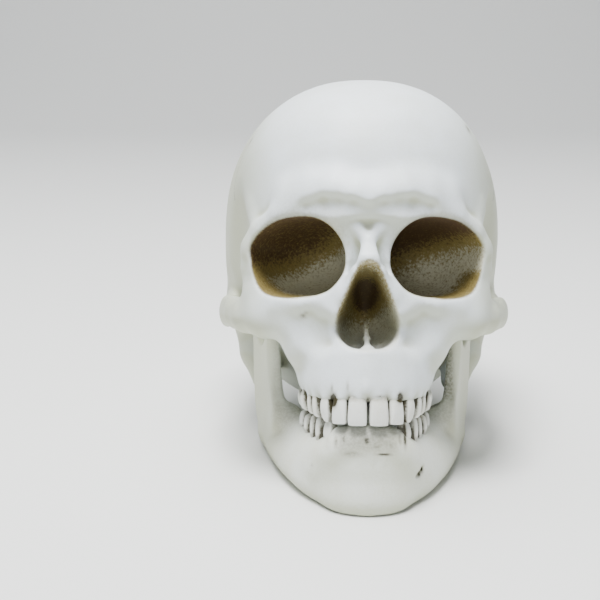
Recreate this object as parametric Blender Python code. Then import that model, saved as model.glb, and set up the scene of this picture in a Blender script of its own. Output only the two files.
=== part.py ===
"""Life-size cast of an adult human skull with its lower jaw, resting on a table.

The sizes are millimetres in the skull's own frame: x to its left side, y to its back,
z up, with the origin midway between the ear holes.  Each bone is built up like clay, as
a field of distances to rods, ellipsoids and pockets that melt into one another.  The
finished clay gets a surface, thin cuts part it into bones along the sutures, and the
whole leans back until the chin, the jaw angles and the back of the head touch the table.
"""
import math

import bpy
import numpy as np
import openvdb
from mathutils import Matrix, Vector

# Lengths below are millimetres; the objects are built in metres.
MM = 0.001
CLAY_STEP = 1.4
FAR_AWAY = 40.0

# The pose: how far the skull leans back, and the table's height in the skull's frame.
LEAN_BACK = math.radians(18.0)
TABLE_HEIGHT = -61.3
FLAT_SNAP = 0.3
DEPTH_CENTRE = -3.4

# The gap between neighbouring bones, and the triangles kept in the two clay surfaces.
SUTURE_GAP = 0.3
CRANIUM_TRIANGLES = 6800
MANDIBLE_TRIANGLES = 1800

# The braincase: its outline from the side (y, z) and its half-width along y.
BRAINCASE_CENTRE = (0.0, 38.0)
BRAINCASE_OUTLINE = [(-92, 38), (-92.5, 50), (-90, 65), (-83, 79), (-67, 92), (-45, 100.8),
                     (-20, 107.8), (0, 111.3), (20, 112.3), (45, 107.5), (65, 97), (80, 80),
                     (88.5, 60), (91, 40), (90, 20), (86.5, 0), (80, -18), (71, -33), (61, -44.4),
                     (50, -48.8), (36, -45.5), (20, -38), (4, -31), (-20, -26), (-45, -22),
                     (-66, -8), (-80, 8), (-89, 25)]
BRAINCASE_HALF_WIDTH = [(-100, 60), (-60, 62.5), (-30, 63.5), (0, 67.5), (18, 69.3), (36, 68.8),
                        (54, 65), (72, 61), (95, 58)]
BRAINCASE_ROUNDNESS = 2.3

# The eye sockets: a closed outline (outwards, upwards) that shrinks as it runs inwards.
SOCKET_MOUTH = (29.0, -76.0, 15.0)
SOCKET_APEX = (16.5, -42.0, 18.0)
SOCKET_OUTLINE = [(20.2, 6.2), (13.4, 12.5), (3.8, 16.0), (-9.3, 16.0), (-17.3, 10.8),
                  (-21.4, 0.5), (-19.3, -9.8), (-12.2, -15.3), (1.5, -16.6), (13.0, -14.4),
                  (18.8, -8.0), (20.6, -1.0)]
SOCKET_SIZE = 18.0

# The nose opening: a pear-shaped outline (x, z) round a middle height.
NOSE_MIDDLE = -8.0
NOSE_OUTLINE = [(0, 18.6), (3.1, 17.4), (5.2, 14.4), (7.4, 9.4), (9.9, 3.6), (12.0, -2.0),
                (12.5, -6.5), (11.0, -11.6), (7.0, -15.2), (0, -16.2), (-7.0, -15.2),
                (-11.0, -11.6), (-12.5, -6.5), (-12.0, -2.0), (-9.9, 3.6), (-7.4, 9.4),
                (-5.2, 14.4), (-3.1, 17.4)]
NOSE_RIM_Y, NOSE_DEPTH, NOSE_SIZE = -88.0, 42.0, 12.5

# The two jaws: the line of each tooth row and the lower jaw's base line (x, y).
UPPER_RIDGE = [(0, -89.6), (8, -88), (14.5, -83.4), (19, -75), (21.6, -65), (23, -55),
               (23.6, -46)]


UPPER_ARCH = [(0, -92.8), (7, -91.4), (13.2, -87.8), (17.8, -81), (20.8, -73.5), (23.1, -65),
              (24.5, -55), (25, -46)]
LOWER_ARCH = [(0, -89), (6.4, -88), (12.4, -84.6), (16.8, -78.4), (19.8, -70.5), (22, -61),
              (24.4, -51), (27, -42)]
JAW_GUM = [(0, -86, -60.4), (8, -84.8, -61), (11.5, -83, -64), (14.8, -79.4, -66.4),
           (18.6, -71, -65.2), (21.5, -61, -63), (24.5, -50, -60), (29.5, -41, -56.5),
           (35.5, -35, -51.5)]
JAW_BASE = [(0, -77.5), (7, -76.3), (15, -71.5), (22.2, -63.5), (28, -53.5), (33, -42.5),
            (37.4, -29), (40, -15), (40.6, -9)]
JAW_BASE_RADIUS = 6.4
JAW_BASE_LIFT = [5.8, 5.9, 6.1, 6.6, 7.2, 7.4, 7.0, 6.2, 5.9]

# Low stumps in place of the lower incisors: x, y, top and radius.
LOWER_STUMPS = [(-11.6, -85.6, -58.4, 2.5), (-7.4, -88.2, -59.6, 2.2), (-2.6, -89.4, -60.2, 2.1),
                (2.2, -89.6, -59.8, 2.2), (6.8, -88.6, -60.4, 2.1), (11.2, -86, -59.2, 2.4)]

# The jaw's upright branch: its outline from the side, and the plane that it thickens.
BRANCH_OUTLINE = [(-41.5, -4), (-40, -14), (-38, -26), (-38.5, -40), (-43, -51), (-36, -61),
                  (-18, -63), (-6, -59), (-1.5, -48), (-3, -32), (-6, -18), (-6.5, -6),
                  (-12, -5), (-16, -13), (-25, -19), (-33, -15), (-38, -5)]
BRANCH_PLACE = (49.3, -8.0, -21.0)
BRANCH_FLARE = (0.28, 0.08)
BRANCH_THICKNESS = 6.2
BRANCH_ROUNDING = 2.6

# Teeth from the middle outwards: name, width, thickness, crown height, kind.
UPPER_TEETH = [("central", 7.55, 6.0, 10.2, "incisor"), ("lateral", 6.35, 5.6, 9.8, "incisor"),
               ("canine", 6.9, 6.8, 9.5, "canine"), ("premolar_1", 6.1, 8.2, 8.6, "molar"),
               ("premolar_2", 5.9, 8.2, 7.8, "molar"), ("molar_1", 9.1, 10.0, 7.0, "molar"),
               ("molar_2", 8.7, 9.8, 6.2, "molar")]
LOWER_TEETH = [("canine", 6.4, 6.6, 8.4, "canine"), ("premolar_1", 6.1, 7.4, 8.6, "molar"),
               ("premolar_2", 6.3, 7.6, 8.0, "molar"), ("molar_1", 9.6, 9.4, 7.0, "molar"),
               ("molar_2", 9.0, 9.2, 6.6, "molar")]
UPPER_GAP, LOWER_GAP = 0.15, 0.4
UPPER_START, LOWER_START = 0.3, 13.2
UPPER_GUM, LOWER_GUM = -44.0, -63.0
UPPER_GUM_SLOPE, LOWER_GUM_SLOPE = 0.07, 0.17
TOOTH_RING = 8
TOOTH_JITTER = 0.25
TOOTH_SEED = 7
TOOTH_LEAN = {"incisor": 0.16, "canine": 0.10, "molar": 0.0}

# Along a crown: place, width, thickness, squareness.  The root is sunk where place < 0.
CROWN_STATIONS = {
    "incisor": [(-0.45, 0.62, 0.60, 2.0), (0.0, 0.86, 0.94, 2.4), (0.35, 0.98, 0.96, 2.9),
                (0.8, 1.00, 0.64, 3.2), (1.0, 0.93, 0.34, 3.2)],
    "canine": [(-0.45, 0.60, 0.65, 2.0), (0.0, 0.82, 0.98, 2.1), (0.4, 1.00, 1.00, 2.3),
               (0.8, 0.86, 0.66, 2.3), (1.0, 0.48, 0.34, 2.2)],
    "molar": [(-0.50, 0.60, 0.65, 2.0), (0.0, 0.88, 0.95, 2.2), (0.4, 1.00, 1.00, 2.5),
              (0.85, 0.92, 0.86, 2.6), (1.0, 0.70, 0.60, 2.4)]}

# Where the bones meet, as outlines in the named plane.
FRONTAL_SIDE = [(-140, 22), (-38, 22), (-12, 111), (-6, 140), (-140, 140)]
PARIETAL_SIDE = [(-60, 22.3), (-40, 22.3), (-31, 35), (-17, 44), (2, 47), (20, 45), (36, 36),
                 (48, 24), (54, 14), (63, 32), (78, 66), (104, 110), (104, 140), (-60, 140)]
OCCIPITAL_TOP = [(-24, -6), (24, -6), (31, 8), (36, 30), (45, 47), (100, 53), (100, 130),
                 (-100, 130), (-100, 53), (-45, 47), (-36, 30), (-31, 8)]
TEMPORAL_TOP = [(20, -10), (36, -24), (47, -34), (100, -34), (100, 90), (20, 90)]
ZYGOMATIC_TOP = [(29, -140), (30, -78), (37, -64), (44, -57), (54, -50), (54, -20),
                 (100, -20), (100, -140)]
NASAL_FRONT = [(-5.2, 60), (5.2, 60), (5.2, 22), (6.4, 6), (-6.4, 6), (-5.2, 22)]
MAXILLA_TOP = [(-37, -140), (37, -140), (37, -61), (31, -53), (28, -46), (-28, -46),
               (-31, -53), (-37, -61)]
LEFT_HALF = [(0, -140), (140, -140), (140, 140), (0, 140)]
NASAL_BACK = -84.0
EVERYWHERE = 150.0


def smooth_min(first, second, blend):
    """The smaller of two distances, melted together over the blend length."""
    share = np.clip(0.5 + 0.5 * (second - first) / blend, 0.0, 1.0)
    return second + (first - second) * share - blend * share * (1.0 - share)


def spline(points, count):
    """Count points evenly along a smooth curve through the given points."""
    knots = np.array(points, float)
    knots = np.vstack([2 * knots[0] - knots[1], knots, 2 * knots[-1] - knots[-2]])
    along = np.linspace(0, len(points) - 1, count)
    first = np.minimum(along.astype(int), len(points) - 2)
    part = (along - first)[:, None]
    a, b, c, d = (knots[first + shift] for shift in range(4))
    return 0.5 * (2 * b + (c - a) * part + (2 * a - 5 * b + 4 * c - d) * part ** 2
                  + (3 * b - a - 3 * c + d) * part ** 3)


class Clay:
    """A block of space that holds, at each grid point, the distance to the surface."""

    def __init__(self, low, high):
        self.low = np.array(low, float)
        self.axes = [np.arange(a, b + CLAY_STEP, CLAY_STEP) for a, b in zip(low, high)]
        self.field = np.full([len(axis) for axis in self.axes], FAR_AWAY)

    def grid(self, window=(slice(None),) * 3):
        """The x, y and z of a window's points, ready to combine."""
        x, y, z = (axis[part] for axis, part in zip(self.axes, window))
        return x[:, None, None], y[None, :, None], z[None, None, :]

    def sculpt(self, shape, blend, mirrored, digging):
        """Melt a shape into the clay, or dig it out, on one side or on both."""
        low, high, distance = shape
        for side in (1, -1)[:2 if mirrored else 1]:
            ends = sorted((low[0] * side, high[0] * side))
            spans = [ends, (low[1], high[1]), (low[2], high[2])]
            margin = blend + 2 * CLAY_STEP
            window = tuple(slice(np.searchsorted(axis, a - margin),
                                 np.searchsorted(axis, b + margin, "right"))
                           for axis, (a, b) in zip(self.axes, spans))
            x, y, z = self.grid(window)
            there = distance(x * side, y, z)
            here = self.field[window]
            if digging:
                self.field[window] = -smooth_min(-here, there, blend)
            else:
                self.field[window] = smooth_min(here, there, blend)

    def add(self, shape, blend=4.0, mirrored=True):
        self.sculpt(shape, blend, mirrored, digging=False)

    def dig(self, shape, blend=2.0, mirrored=True):
        self.sculpt(shape, blend, mirrored, digging=True)

    def rest_on_table(self):
        """Cut off what lies below the table's plane."""
        _, y, z = self.grid()
        height = z * math.cos(LEAN_BACK) - y * math.sin(LEAN_BACK) - TABLE_HEIGHT
        self.field = np.maximum(self.field, -height)


def ellipsoid(centre, semi):
    """Distance to an ellipsoid, close to exact near its surface."""
    centre, semi = np.array(centre, float), np.array(semi, float)

    def distance(*point):
        steps = [axis - middle for axis, middle in zip(point, centre)]
        near = np.sqrt(sum((step / r) ** 2 for step, r in zip(steps, semi)))
        slope = np.sqrt(sum((step / r ** 2) ** 2 for step, r in zip(steps, semi)))
        return near * (near - 1) / np.maximum(slope, 1e-6)
    return centre - semi, centre + semi, distance


def rod(points, radii, thin=1.0):
    """Distance to a chain of tapering rods; thin is how much flatter it is along x."""
    squeeze = np.array([thin, 1.0, 1.0])
    points = np.array(points, float)
    radii = np.broadcast_to(np.array(radii, float), len(points))
    reach = radii.max()

    def distance(x, y, z):
        point = (x * thin, y, z)
        result = None
        ends = points * squeeze
        for start, end, r_start, r_end in zip(ends[:-1], ends[1:], radii[:-1], radii[1:]):
            run = end - start
            along = sum((axis - a) * r for axis, a, r in zip(point, start, run)) / (run @ run)
            along = np.clip(along, 0.0, 1.0)
            away = np.sqrt(sum((axis - a - along * r) ** 2
                               for axis, a, r in zip(point, start, run)))
            away = (away - r_start - (r_end - r_start) * along) / thin
            result = away if result is None else smooth_min(result, away, 2.0)
        return result
    return points.min(axis=0) - reach, points.max(axis=0) + reach, distance


def rim_share(across, above, outline):
    """Distance from the middle as a share of the closed outline's radius in that direction."""
    loop = np.array(outline + outline[:3], float)
    curve = spline(loop, 30 * (len(outline) + 2) + 1)[30:-30]
    turns = np.arctan2(curve[:, 1], curve[:, 0]) % (2 * math.pi)
    order = np.argsort(turns)
    radii = np.hypot(curve[:, 0], curve[:, 1])[order]
    turn = np.arctan2(above, across) % (2 * math.pi)
    return np.hypot(across, above) / np.interp(turn, turns[order], radii,
                                               period=2 * math.pi)


def eye_socket():
    """Distance to the socket's pocket: its outline narrows inwards to the apex."""
    mouth, apex = np.array(SOCKET_MOUTH), np.array(SOCKET_APEX)
    inward = apex - mouth
    depth = np.linalg.norm(inward)
    inward /= depth
    outward = np.cross((0.0, 0.0, 1.0), inward)
    outward *= np.sign(outward[0]) / np.linalg.norm(outward)
    upward = np.cross(inward, outward)
    upward *= np.sign(upward[2])

    def distance(*point):
        steps = [axis - middle for axis, middle in zip(point, mouth)]
        across, above, inside = (sum(step * part for step, part in zip(steps, axis))
                                 for axis in (outward, upward, inward))
        inside = inside / depth
        taper = np.sqrt(np.clip(1 - np.clip(inside, 0, 1) ** 2.2, 0.0001, 1))
        wall = (rim_share(across, above, SOCKET_OUTLINE) - taper) * SOCKET_SIZE
        return np.where(inside > 1, np.maximum(wall, (inside - 1) * depth), wall)
    return (mouth[0] - 28, -112.0, -12.0), (mouth[0] + 34, apex[1] + 4, 42.0), distance


def nose_opening():
    """Distance to the pear-shaped pocket of the nose."""
    def distance(x, y, z):
        inside = np.clip((y - NOSE_RIM_Y) / NOSE_DEPTH, 0, 1)
        taper = np.sqrt(np.clip(1 - inside ** 2.2, 0.001, 1))
        wall = (rim_share(x, z - NOSE_MIDDLE, NOSE_OUTLINE) - taper) * NOSE_SIZE
        back = y - NOSE_RIM_Y - NOSE_DEPTH
        return np.where(back > 0, np.maximum(wall, back), wall)
    return (-13.0, -112.0, -26.0), (13.0, NOSE_RIM_Y + NOSE_DEPTH + 2, 13.0), distance


def fill_braincase(clay):
    """Fill the clay with the braincase, from its side outline and its widths."""
    x, y, z = clay.grid()
    y_middle, z_middle = BRAINCASE_CENTRE
    outline = [(py - y_middle, pz - z_middle) for py, pz in BRAINCASE_OUTLINE]
    widths = spline(BRAINCASE_HALF_WIDTH, 200)
    half_width = np.interp(y, widths[:, 0], widths[:, 1])
    level = ((np.abs(x) / half_width) ** BRAINCASE_ROUNDNESS
             + rim_share(y - y_middle, z - z_middle, outline) ** BRAINCASE_ROUNDNESS)
    level = level ** (1 / BRAINCASE_ROUNDNESS) - 1
    slope = np.sqrt(sum(part ** 2 for part in np.gradient(level, CLAY_STEP)))
    clay.field = np.minimum(clay.field, level / np.maximum(slope, 0.007))


def cranium_clay():
    """The whole cranium without its teeth."""
    clay = Clay((-76, -108, -66), (76, 98, 120))
    fill_braincase(clay)
    # The hollows behind the cheeks.
    clay.dig(ellipsoid((70, -46, 12), (19.5, 25, 40)), 10)
    clay.dig(ellipsoid((56, -26, -24), (19, 24, 26)), 8)
    clay.dig(ellipsoid((46, -42, -26), (25, 17, 25)), 8)
    # The cones round the eye sockets, the brow and the socket's outer rim.
    clay.add(rod([(29, -67, 14), (17, -36, 18)], [21.5, 14]), 6)
    clay.add(rod([(6, -85, 31.5), (13, -85, 33.2), (25, -83, 34.6), (37, -77.5, 32.6),
                  (45.5, -70.5, 27.4), (49.5, -66, 20)], [3.4, 3.6, 3.8, 4, 4, 4]), 5)
    clay.add(rod([(0, -85.6, 35), (7, -86.9, 37.4), (14, -86.4, 39.4), (22, -83, 40.6),
                  (30, -78, 40)], [8.6, 8.8, 8.6, 8.2, 7.4]), 8)
    clay.dig(ellipsoid((0, -97.3, 26), (13, 8.4, 5.2)), 5, mirrored=False)
    clay.dig(rod([(0, -98.4, 30.2), (7, -99, 32.4), (14, -98.2, 33.6), (20, -96, 34.2),
                  (27, -92, 33.4)], [5, 5.4, 5.6, 5.4, 4.2]), 1.6)
    clay.add(rod([(49.5, -66, 21), (50.2, -63.5, 12), (48.5, -64, 2), (45, -67, -5)],
                 [4.2, 4.0, 4.6, 6]), 4)
    clay.add(rod([(46, -66, 27), (48, -57.5, 39), (49.5, -46, 53)], [3, 2.6, 1.4]), 6)
    # The upper jaw and the rim below the socket.
    clay.add(ellipsoid((0, -64, -10), (25, 22, 30)), 8)
    clay.add(ellipsoid((21, -64, -15), (16, 18, 20)), 8)
    clay.add(rod([(13, -83, 3), (19, -82, -2.4), (28, -79.4, -5), (38, -74.6, -4.6), (46, -68.6, 0)],
                 [3.0, 3.2, 3.4, 3.8, 4.2]), 5)
    clay.add(rod([(8, -82.8, 25), (9.2, -83.6, 14), (13, -83.6, 3), (16.5, -81.5, -8)],
                 [2.6, 2.8, 3.4, 5.2]), 4)
    # The cheekbone and the buttress down to the molars.
    clay.add(rod([(34, -70, -11), (43, -66.5, -10), (51, -59, -8.5), (56.5, -50, -7)],
                 [7, 8.6, 7.4, 5.2]), 6)
    clay.add(rod([(37, -63, -10), (29.5, -63, -16.5), (24.5, -62, -26), (23.5, -61, -33)],
                 [6, 5.2, 5, 5]), 5)
    for height, radius in ((-27, 5.0), (-33.5, 5.4), (-39.6, 5.4)):
        ridge = spline([(px, py, height + 0.07 * (py + 90)) for px, py in UPPER_RIDGE], 13)
        clay.add(rod(ridge, radius), 4)
    clay.add(rod([(13, -36, -8), (15, -36, -26), (16.5, -34, -40)], [7, 4.5, 3]), 5)
    # The rim of the nose opening and the nasal bones.
    clay.add(rod([(0, -94.5, 12), (4.6, -92, 7.5), (9.6, -87, -2), (12.8, -84.5, -10),
                  (12.5, -84, -17), (7.5, -86, -23), (0, -88.5, -25)],
                 [2.8, 3.2, 3.6, 3.6, 3.6, 3.6, 4]), 4)
    clay.add(rod([(5, -87.4, 26.8), (0.7, -90.7, 20.4), (2.6, -95, 12.8)], [2.0, 1.9, 2.3]), 3)
    clay.dig(rod([(6.8, -92.4, 21.5), (7.4, -93.8, 14), (11.5, -92.6, 5)], [2.4, 2.4, 2]), 3)
    # The pockets.
    clay.dig(eye_socket(), 2.5)
    clay.dig(nose_opening(), 1.5, mirrored=False)
    clay.dig(ellipsoid((0, -60, -48), (17, 30, 13)), 4, mirrored=False)
    clay.dig(ellipsoid((25, -87.6, -17), (12, 8.2, 9)), 5)
    clay.add(rod([(0, -88, -24.5), (0, -74, -19), (0, -60, -10)], [1.2, 1.2, 1.1]), 3,
             mirrored=False)
    clay.add(rod([(0, -91.5, -24.6), (0, -87, -24.6)], [1.1, 2.2]), 2, mirrored=False)
    # The cheek arch, the ear region and the jaw joint's hollow.
    clay.add(rod(spline([(55, -53, -7.5), (60.5, -42, -5.5), (63.4, -30, -4.6), (63.6, -20, -4),
                         (61.5, -7, -1.5), (58, 2, 2)], 13), 6.0, thin=2.0), 4)
    clay.add(rod([(60, -6, -1), (59.5, 8, 3), (59, 28, 6)], [5, 6, 5]), 10)
    clay.add(rod([(53, 15, -6), (50.5, 14, -22), (47.5, 12.5, -35)], [11, 10, 7]), 7)
    clay.dig(ellipsoid((51, -9, -4), (11.5, 7, 7.5)), 3)
    clay.dig(rod([(70, 4, -3), (48, 2, -1)], 4.2), 2.5)
    # The base: the spinal hole, and the ridge low on the back of the head.
    clay.dig(ellipsoid((0, 14, -44), (14.5, 17.5, 18)), 3, mirrored=False)
    clay.add(rod([(0, 84, 2), (20, 79, 0), (38, 66, -3)], [2.5, 2, 1]), 16)
    clay.rest_on_table()
    return clay


def on_table(path, lifts):
    """Heights for a path (x, y) that runs the given lifts above the table."""
    return [(px, py, (TABLE_HEIGHT + lift + py * math.sin(LEAN_BACK)) / math.cos(LEAN_BACK))
            for (px, py), lift in zip(path, lifts)]


def within(first, second, outline):
    """True where a ray from the point crosses the outline's edges an odd number of times."""
    inside = np.zeros(len(first), bool)
    corners = np.array(outline, float)
    for (a0, b0), (a1, b1) in zip(corners, np.roll(corners, -1, axis=0)):
        if b0 != b1:
            crossing = (b0 > second) != (b1 > second)
            inside ^= crossing & (first < (a1 - a0) * (second - b0) / (b1 - b0) + a0)
    return inside


def outline_distance(first, second, outline):
    """Distance to the nearest edge of a closed outline, negative inside."""
    corners = spline(np.array(outline + outline[:1], float), 4 * len(outline) + 1)[:-1]
    nearest = np.full(np.broadcast(first, second).shape, 1e6)
    for (a0, b0), (a1, b1) in zip(corners, np.roll(corners, -1, axis=0)):
        run = np.array([a1 - a0, b1 - b0])
        along = ((first - a0) * run[0] + (second - b0) * run[1]) / (run @ run)
        along = np.clip(along, 0, 1)
        away = (first - a0 - along * run[0]) ** 2 + (second - b0 - along * run[1]) ** 2
        nearest = np.minimum(nearest, away)
    flat = [np.broadcast_to(axis, nearest.shape).ravel() for axis in (first, second)]
    inside = within(*flat, corners).reshape(nearest.shape)
    return np.where(inside, -1, 1) * np.sqrt(nearest)


def branch_plate():
    """An outline in side view, given thickness about a tilted plane, with rounded edges."""
    x_middle, y_middle, z_middle = BRANCH_PLACE

    def distance(x, y, z):
        side = outline_distance(y, z, BRANCH_OUTLINE) + BRANCH_ROUNDING
        plane = x_middle + BRANCH_FLARE[0] * (y - y_middle) + BRANCH_FLARE[1] * (z - z_middle)
        depth = np.abs(x - plane) * 0.96 - BRANCH_THICKNESS / 2 + BRANCH_ROUNDING
        outer = np.hypot(np.maximum(side, 0), np.maximum(depth, 0))
        return outer + np.minimum(np.maximum(side, depth), 0) - BRANCH_ROUNDING
    return (34.0, -46.0, -67.0), (56.0, 1.0, -1.0), distance


def mandible_clay():
    """The lower jaw without its teeth."""
    clay = Clay((-62, -100, -106), (62, 12, 14))
    for gum, base in zip(spline(JAW_GUM, 24), spline(on_table(JAW_BASE, JAW_BASE_LIFT), 24)):
        clay.add(rod([gum, (gum + base) / 2, base], [4.4, 5.0, JAW_BASE_RADIUS]), 5)
    clay.add(ellipsoid((0, -78.5, -84), (15, 6.5, 8)), 8, mirrored=False)
    for x, y, top, radius in LOWER_STUMPS:
        clay.add(rod([(x, y, top), (x * 0.95, y + 1.2, top - 9)], [radius, 1.0]), 2,
                 mirrored=False)
    # The upright branch with its two horns, and the joint's head.
    clay.add(branch_plate(), 4)
    clay.add(ellipsoid((50.5, -9, -4.5), (9.5, 4.6, 5)), 4)
    clay.rest_on_table()
    return clay


def keep_one_material(thing, material):
    thing.data.materials.clear()
    thing.data.materials.append(material)


def place(thing, collection):
    """Put an object in a collection and nowhere else."""
    for other in list(thing.users_collection):
        other.objects.unlink(thing)
    collection.objects.link(thing)
    return thing


def new_object(name, points, faces, collection):
    """An object from points in millimetres."""
    mesh = bpy.data.meshes.new(name)
    mesh.from_pydata((np.asarray(points) * MM).tolist(), [], faces)
    mesh.update()
    return place(bpy.data.objects.new(name, mesh), collection)


def bake(thing):
    """Apply an object's modifiers to its mesh."""
    graph = bpy.context.evaluated_depsgraph_get()
    baked = bpy.data.meshes.new_from_object(thing.evaluated_get(graph), depsgraph=graph)
    thing.modifiers.clear()
    thing.data = baked


def surface(clay, name, triangles, collection):
    """The clay's surface, thinned out to about the given number of triangles."""
    grid = openvdb.FloatGrid(FAR_AWAY)
    grid.copyFromArray(clay.field.astype(np.float32))
    points, quads = grid.convertToQuads(isovalue=0.0)
    thing = new_object(name, points * CLAY_STEP + clay.low, quads[:, ::-1].tolist(), collection)
    thinner = thing.modifiers.new("thin out", "DECIMATE")
    thinner.ratio = triangles / (2 * len(quads))
    thinner.use_collapse_triangulate = True
    bake(thing)
    keep_largest(thing)
    return thing


def keep_largest(thing):
    """Keep only the largest closed surface of a mesh."""
    mesh = thing.data
    labels = np.arange(len(mesh.vertices))
    edges = np.empty(2 * len(mesh.edges), int)
    mesh.edges.foreach_get("vertices", edges)
    first, second = edges.reshape(-1, 2).T
    while True:
        lower = labels.copy()
        np.minimum.at(lower, first, labels[second])
        np.minimum.at(lower, second, labels[first])
        lower = lower[lower]
        if np.array_equal(lower, labels):
            break
        labels = lower
    names, counts = np.unique(labels, return_counts=True)
    if len(names) > 1:
        kept = labels == names[counts.argmax()]
        renumber = np.cumsum(kept) - 1
        points = np.array([point.co for point in mesh.vertices])[kept]
        faces = [[int(renumber[i]) for i in face.vertices] for face in mesh.polygons
                 if kept[face.vertices[0]]]
        smaller = bpy.data.meshes.new(mesh.name)
        smaller.from_pydata(points.tolist(), [], faces)
        smaller.update()
        thing.data = smaller


def outline_prism(name, plane, outline, ends, grow, collection):
    """A closed prism over an outline; grow moves every face outwards by that much."""
    points = np.array(outline, float)
    before, after = np.roll(points, 1, axis=0), np.roll(points, -1, axis=0)
    area = 0.5 * np.sum(points[:, 0] * after[:, 1] - after[:, 0] * points[:, 1])
    if area < 0:
        points, before, after = points[::-1], after[::-1], before[::-1]
    along_in = (points - before) / np.linalg.norm(points - before, axis=1)[:, None]
    along_out = (after - points) / np.linalg.norm(after - points, axis=1)[:, None]
    normal_in = np.stack([along_in[:, 1], -along_in[:, 0]], axis=1)
    normal_out = np.stack([along_out[:, 1], -along_out[:, 0]], axis=1)
    mitre = (normal_in + normal_out) / (1 + np.sum(normal_in * normal_out, axis=1))[:, None]
    points = points + mitre * grow
    low, high = ends[0] - grow, ends[1] + grow
    axes = {"xy": (0, 1, 2), "xz": (0, 2, 1), "yz": (1, 2, 0)}[plane]
    corners = np.zeros((2 * len(points), 3))
    corners[:, axes[0]] = np.tile(points[:, 0], 2)
    corners[:, axes[1]] = np.tile(points[:, 1], 2)
    corners[:, axes[2]] = np.repeat((low, high), len(points))
    count = len(points)
    faces = [[i, (i + 1) % count, count + (i + 1) % count, count + i] for i in range(count)]
    faces += [list(range(count))[::-1], list(range(count, 2 * count))]
    if plane == "xz":
        faces = [face[::-1] for face in faces]
    return new_object(name, corners, faces, collection)


def boolean(thing, operation, other):
    """Combine an object with another, or with the meshes of a collection, for good."""
    step = thing.modifiers.new(operation.lower(), "BOOLEAN")
    step.operation = operation
    step.solver = "EXACT"
    if isinstance(other, bpy.types.Collection):
        step.operand_type = "COLLECTION"
        step.collection = other
    else:
        step.object = other
    bake(thing)


def split(thing, name, plane, outline, ends, collections):
    """Part a bone from the rest; a gap stays between them.  Returns the new bone."""
    bones, cutters = collections
    bone = place(bpy.data.objects.new(name, thing.data.copy()), bones)
    inside = outline_prism(name + " cutter", plane, outline, ends, 0.0, cutters)
    around = outline_prism(name + " wider cutter", plane, outline, ends, SUTURE_GAP, cutters)
    boolean(bone, "INTERSECT", inside)
    boolean(thing, "DIFFERENCE", around)
    for cutter in (inside, around):
        bpy.data.objects.remove(cutter)
    return bone


def tooth(size, kind, rng):
    """A tooth's rings of points and its faces; the crown points along +z."""
    width, thickness, height = size * (1 + rng.uniform(-1, 1, 3) * TOOTH_JITTER / 10)
    turn = np.linspace(0, 2 * math.pi, TOOTH_RING, endpoint=False) + math.pi / TOOTH_RING
    rings = []
    for where, wide, thick, squareness in CROWN_STATIONS[kind]:
        reach = (np.abs(np.cos(turn)) ** squareness
                 + np.abs(np.sin(turn)) ** squareness) ** (-1 / squareness)
        lean = TOOTH_LEAN[kind] * where * height
        rings.append(np.stack([np.cos(turn) * reach * wide * width / 2,
                               np.sin(turn) * reach * thick * thickness / 2 - lean,
                               np.full(TOOTH_RING, where * height)], axis=1))
    count = TOOTH_RING
    faces = [[i * count + j, i * count + (j + 1) % count,
              (i + 1) * count + (j + 1) % count, (i + 1) * count + j]
             for i in range(len(rings) - 1) for j in range(count)]
    last = (len(rings) - 1) * count
    faces += [list(range(count))[::-1], [last + j for j in range(count)]]
    return np.concatenate(rings), faces


def tooth_row(prefix, teeth, arch, start, gap, gum, slope, pointing, sides, collection):
    """Set a row of teeth along its arch; pointing is -1 for teeth that point down."""
    rng = np.random.default_rng(TOOTH_SEED)
    curve = spline(arch, 400)
    arc = np.concatenate([[0], np.cumsum(np.hypot(*np.diff(curve, axis=0).T))])
    reach = start
    for name, width, thickness, height, kind in teeth:
        middle = reach + width / 2
        reach += width + gap
        here, ahead = (np.array([np.interp(place_, arc, curve[:, axis]) for axis in (0, 1)])
                       for place_ in (middle, middle + 0.5))
        along = (ahead - here) / np.linalg.norm(ahead - here)
        root = gum + slope * (here[1] + 92)
        for side in sides:
            points, faces = tooth(np.array([width, thickness, height]), kind, rng)
            flat = here + points[:, :1] * along + points[:, 1:2] * (-along[1], along[0])
            spots = np.stack([flat[:, 0] * side, flat[:, 1], root + pointing * points[:, 2]],
                             axis=1)
            if side * pointing < 0:
                faces = [face[::-1] for face in faces]
            label = "%s_%s_%s" % (prefix, name, "left" if side > 0 else "right")
            new_object(label, spots, faces, collection)


def plant_teeth(thing, scene_collection, *row):
    """Join a row of teeth to the bone they grow from."""
    teeth = bpy.data.collections.new(thing.name + " teeth")
    scene_collection.children.link(teeth)
    tooth_row(*row, teeth)
    boolean(thing, "UNION", teeth)
    for crown in list(teeth.objects):
        bpy.data.objects.remove(crown)
    bpy.data.collections.remove(teeth)
    keep_largest(thing)


def stand_on_table(thing):
    """Lean the skull back, set it on the table and make its flats exactly level."""
    lean = Matrix.Rotation(-LEAN_BACK, 4, "X")
    lift = Matrix.Translation(Vector((0, -DEPTH_CENTRE, -TABLE_HEIGHT)) * MM)
    thing.data.transform(lift @ lean)
    for point in thing.data.vertices:
        if point.co.z < FLAT_SNAP * MM:
            point.co.z = 0.0
    thing.data.update()


def new_material(name, colour, roughness):
    material = bpy.data.materials.new(name)
    material.use_nodes = True
    shader = material.node_tree.nodes["Principled BSDF"]
    shader.inputs["Base Color"].default_value = (*colour, 1.0)
    shader.inputs["Roughness"].default_value = roughness
    shader.inputs["Metallic"].default_value = 0.0
    return material


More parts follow.
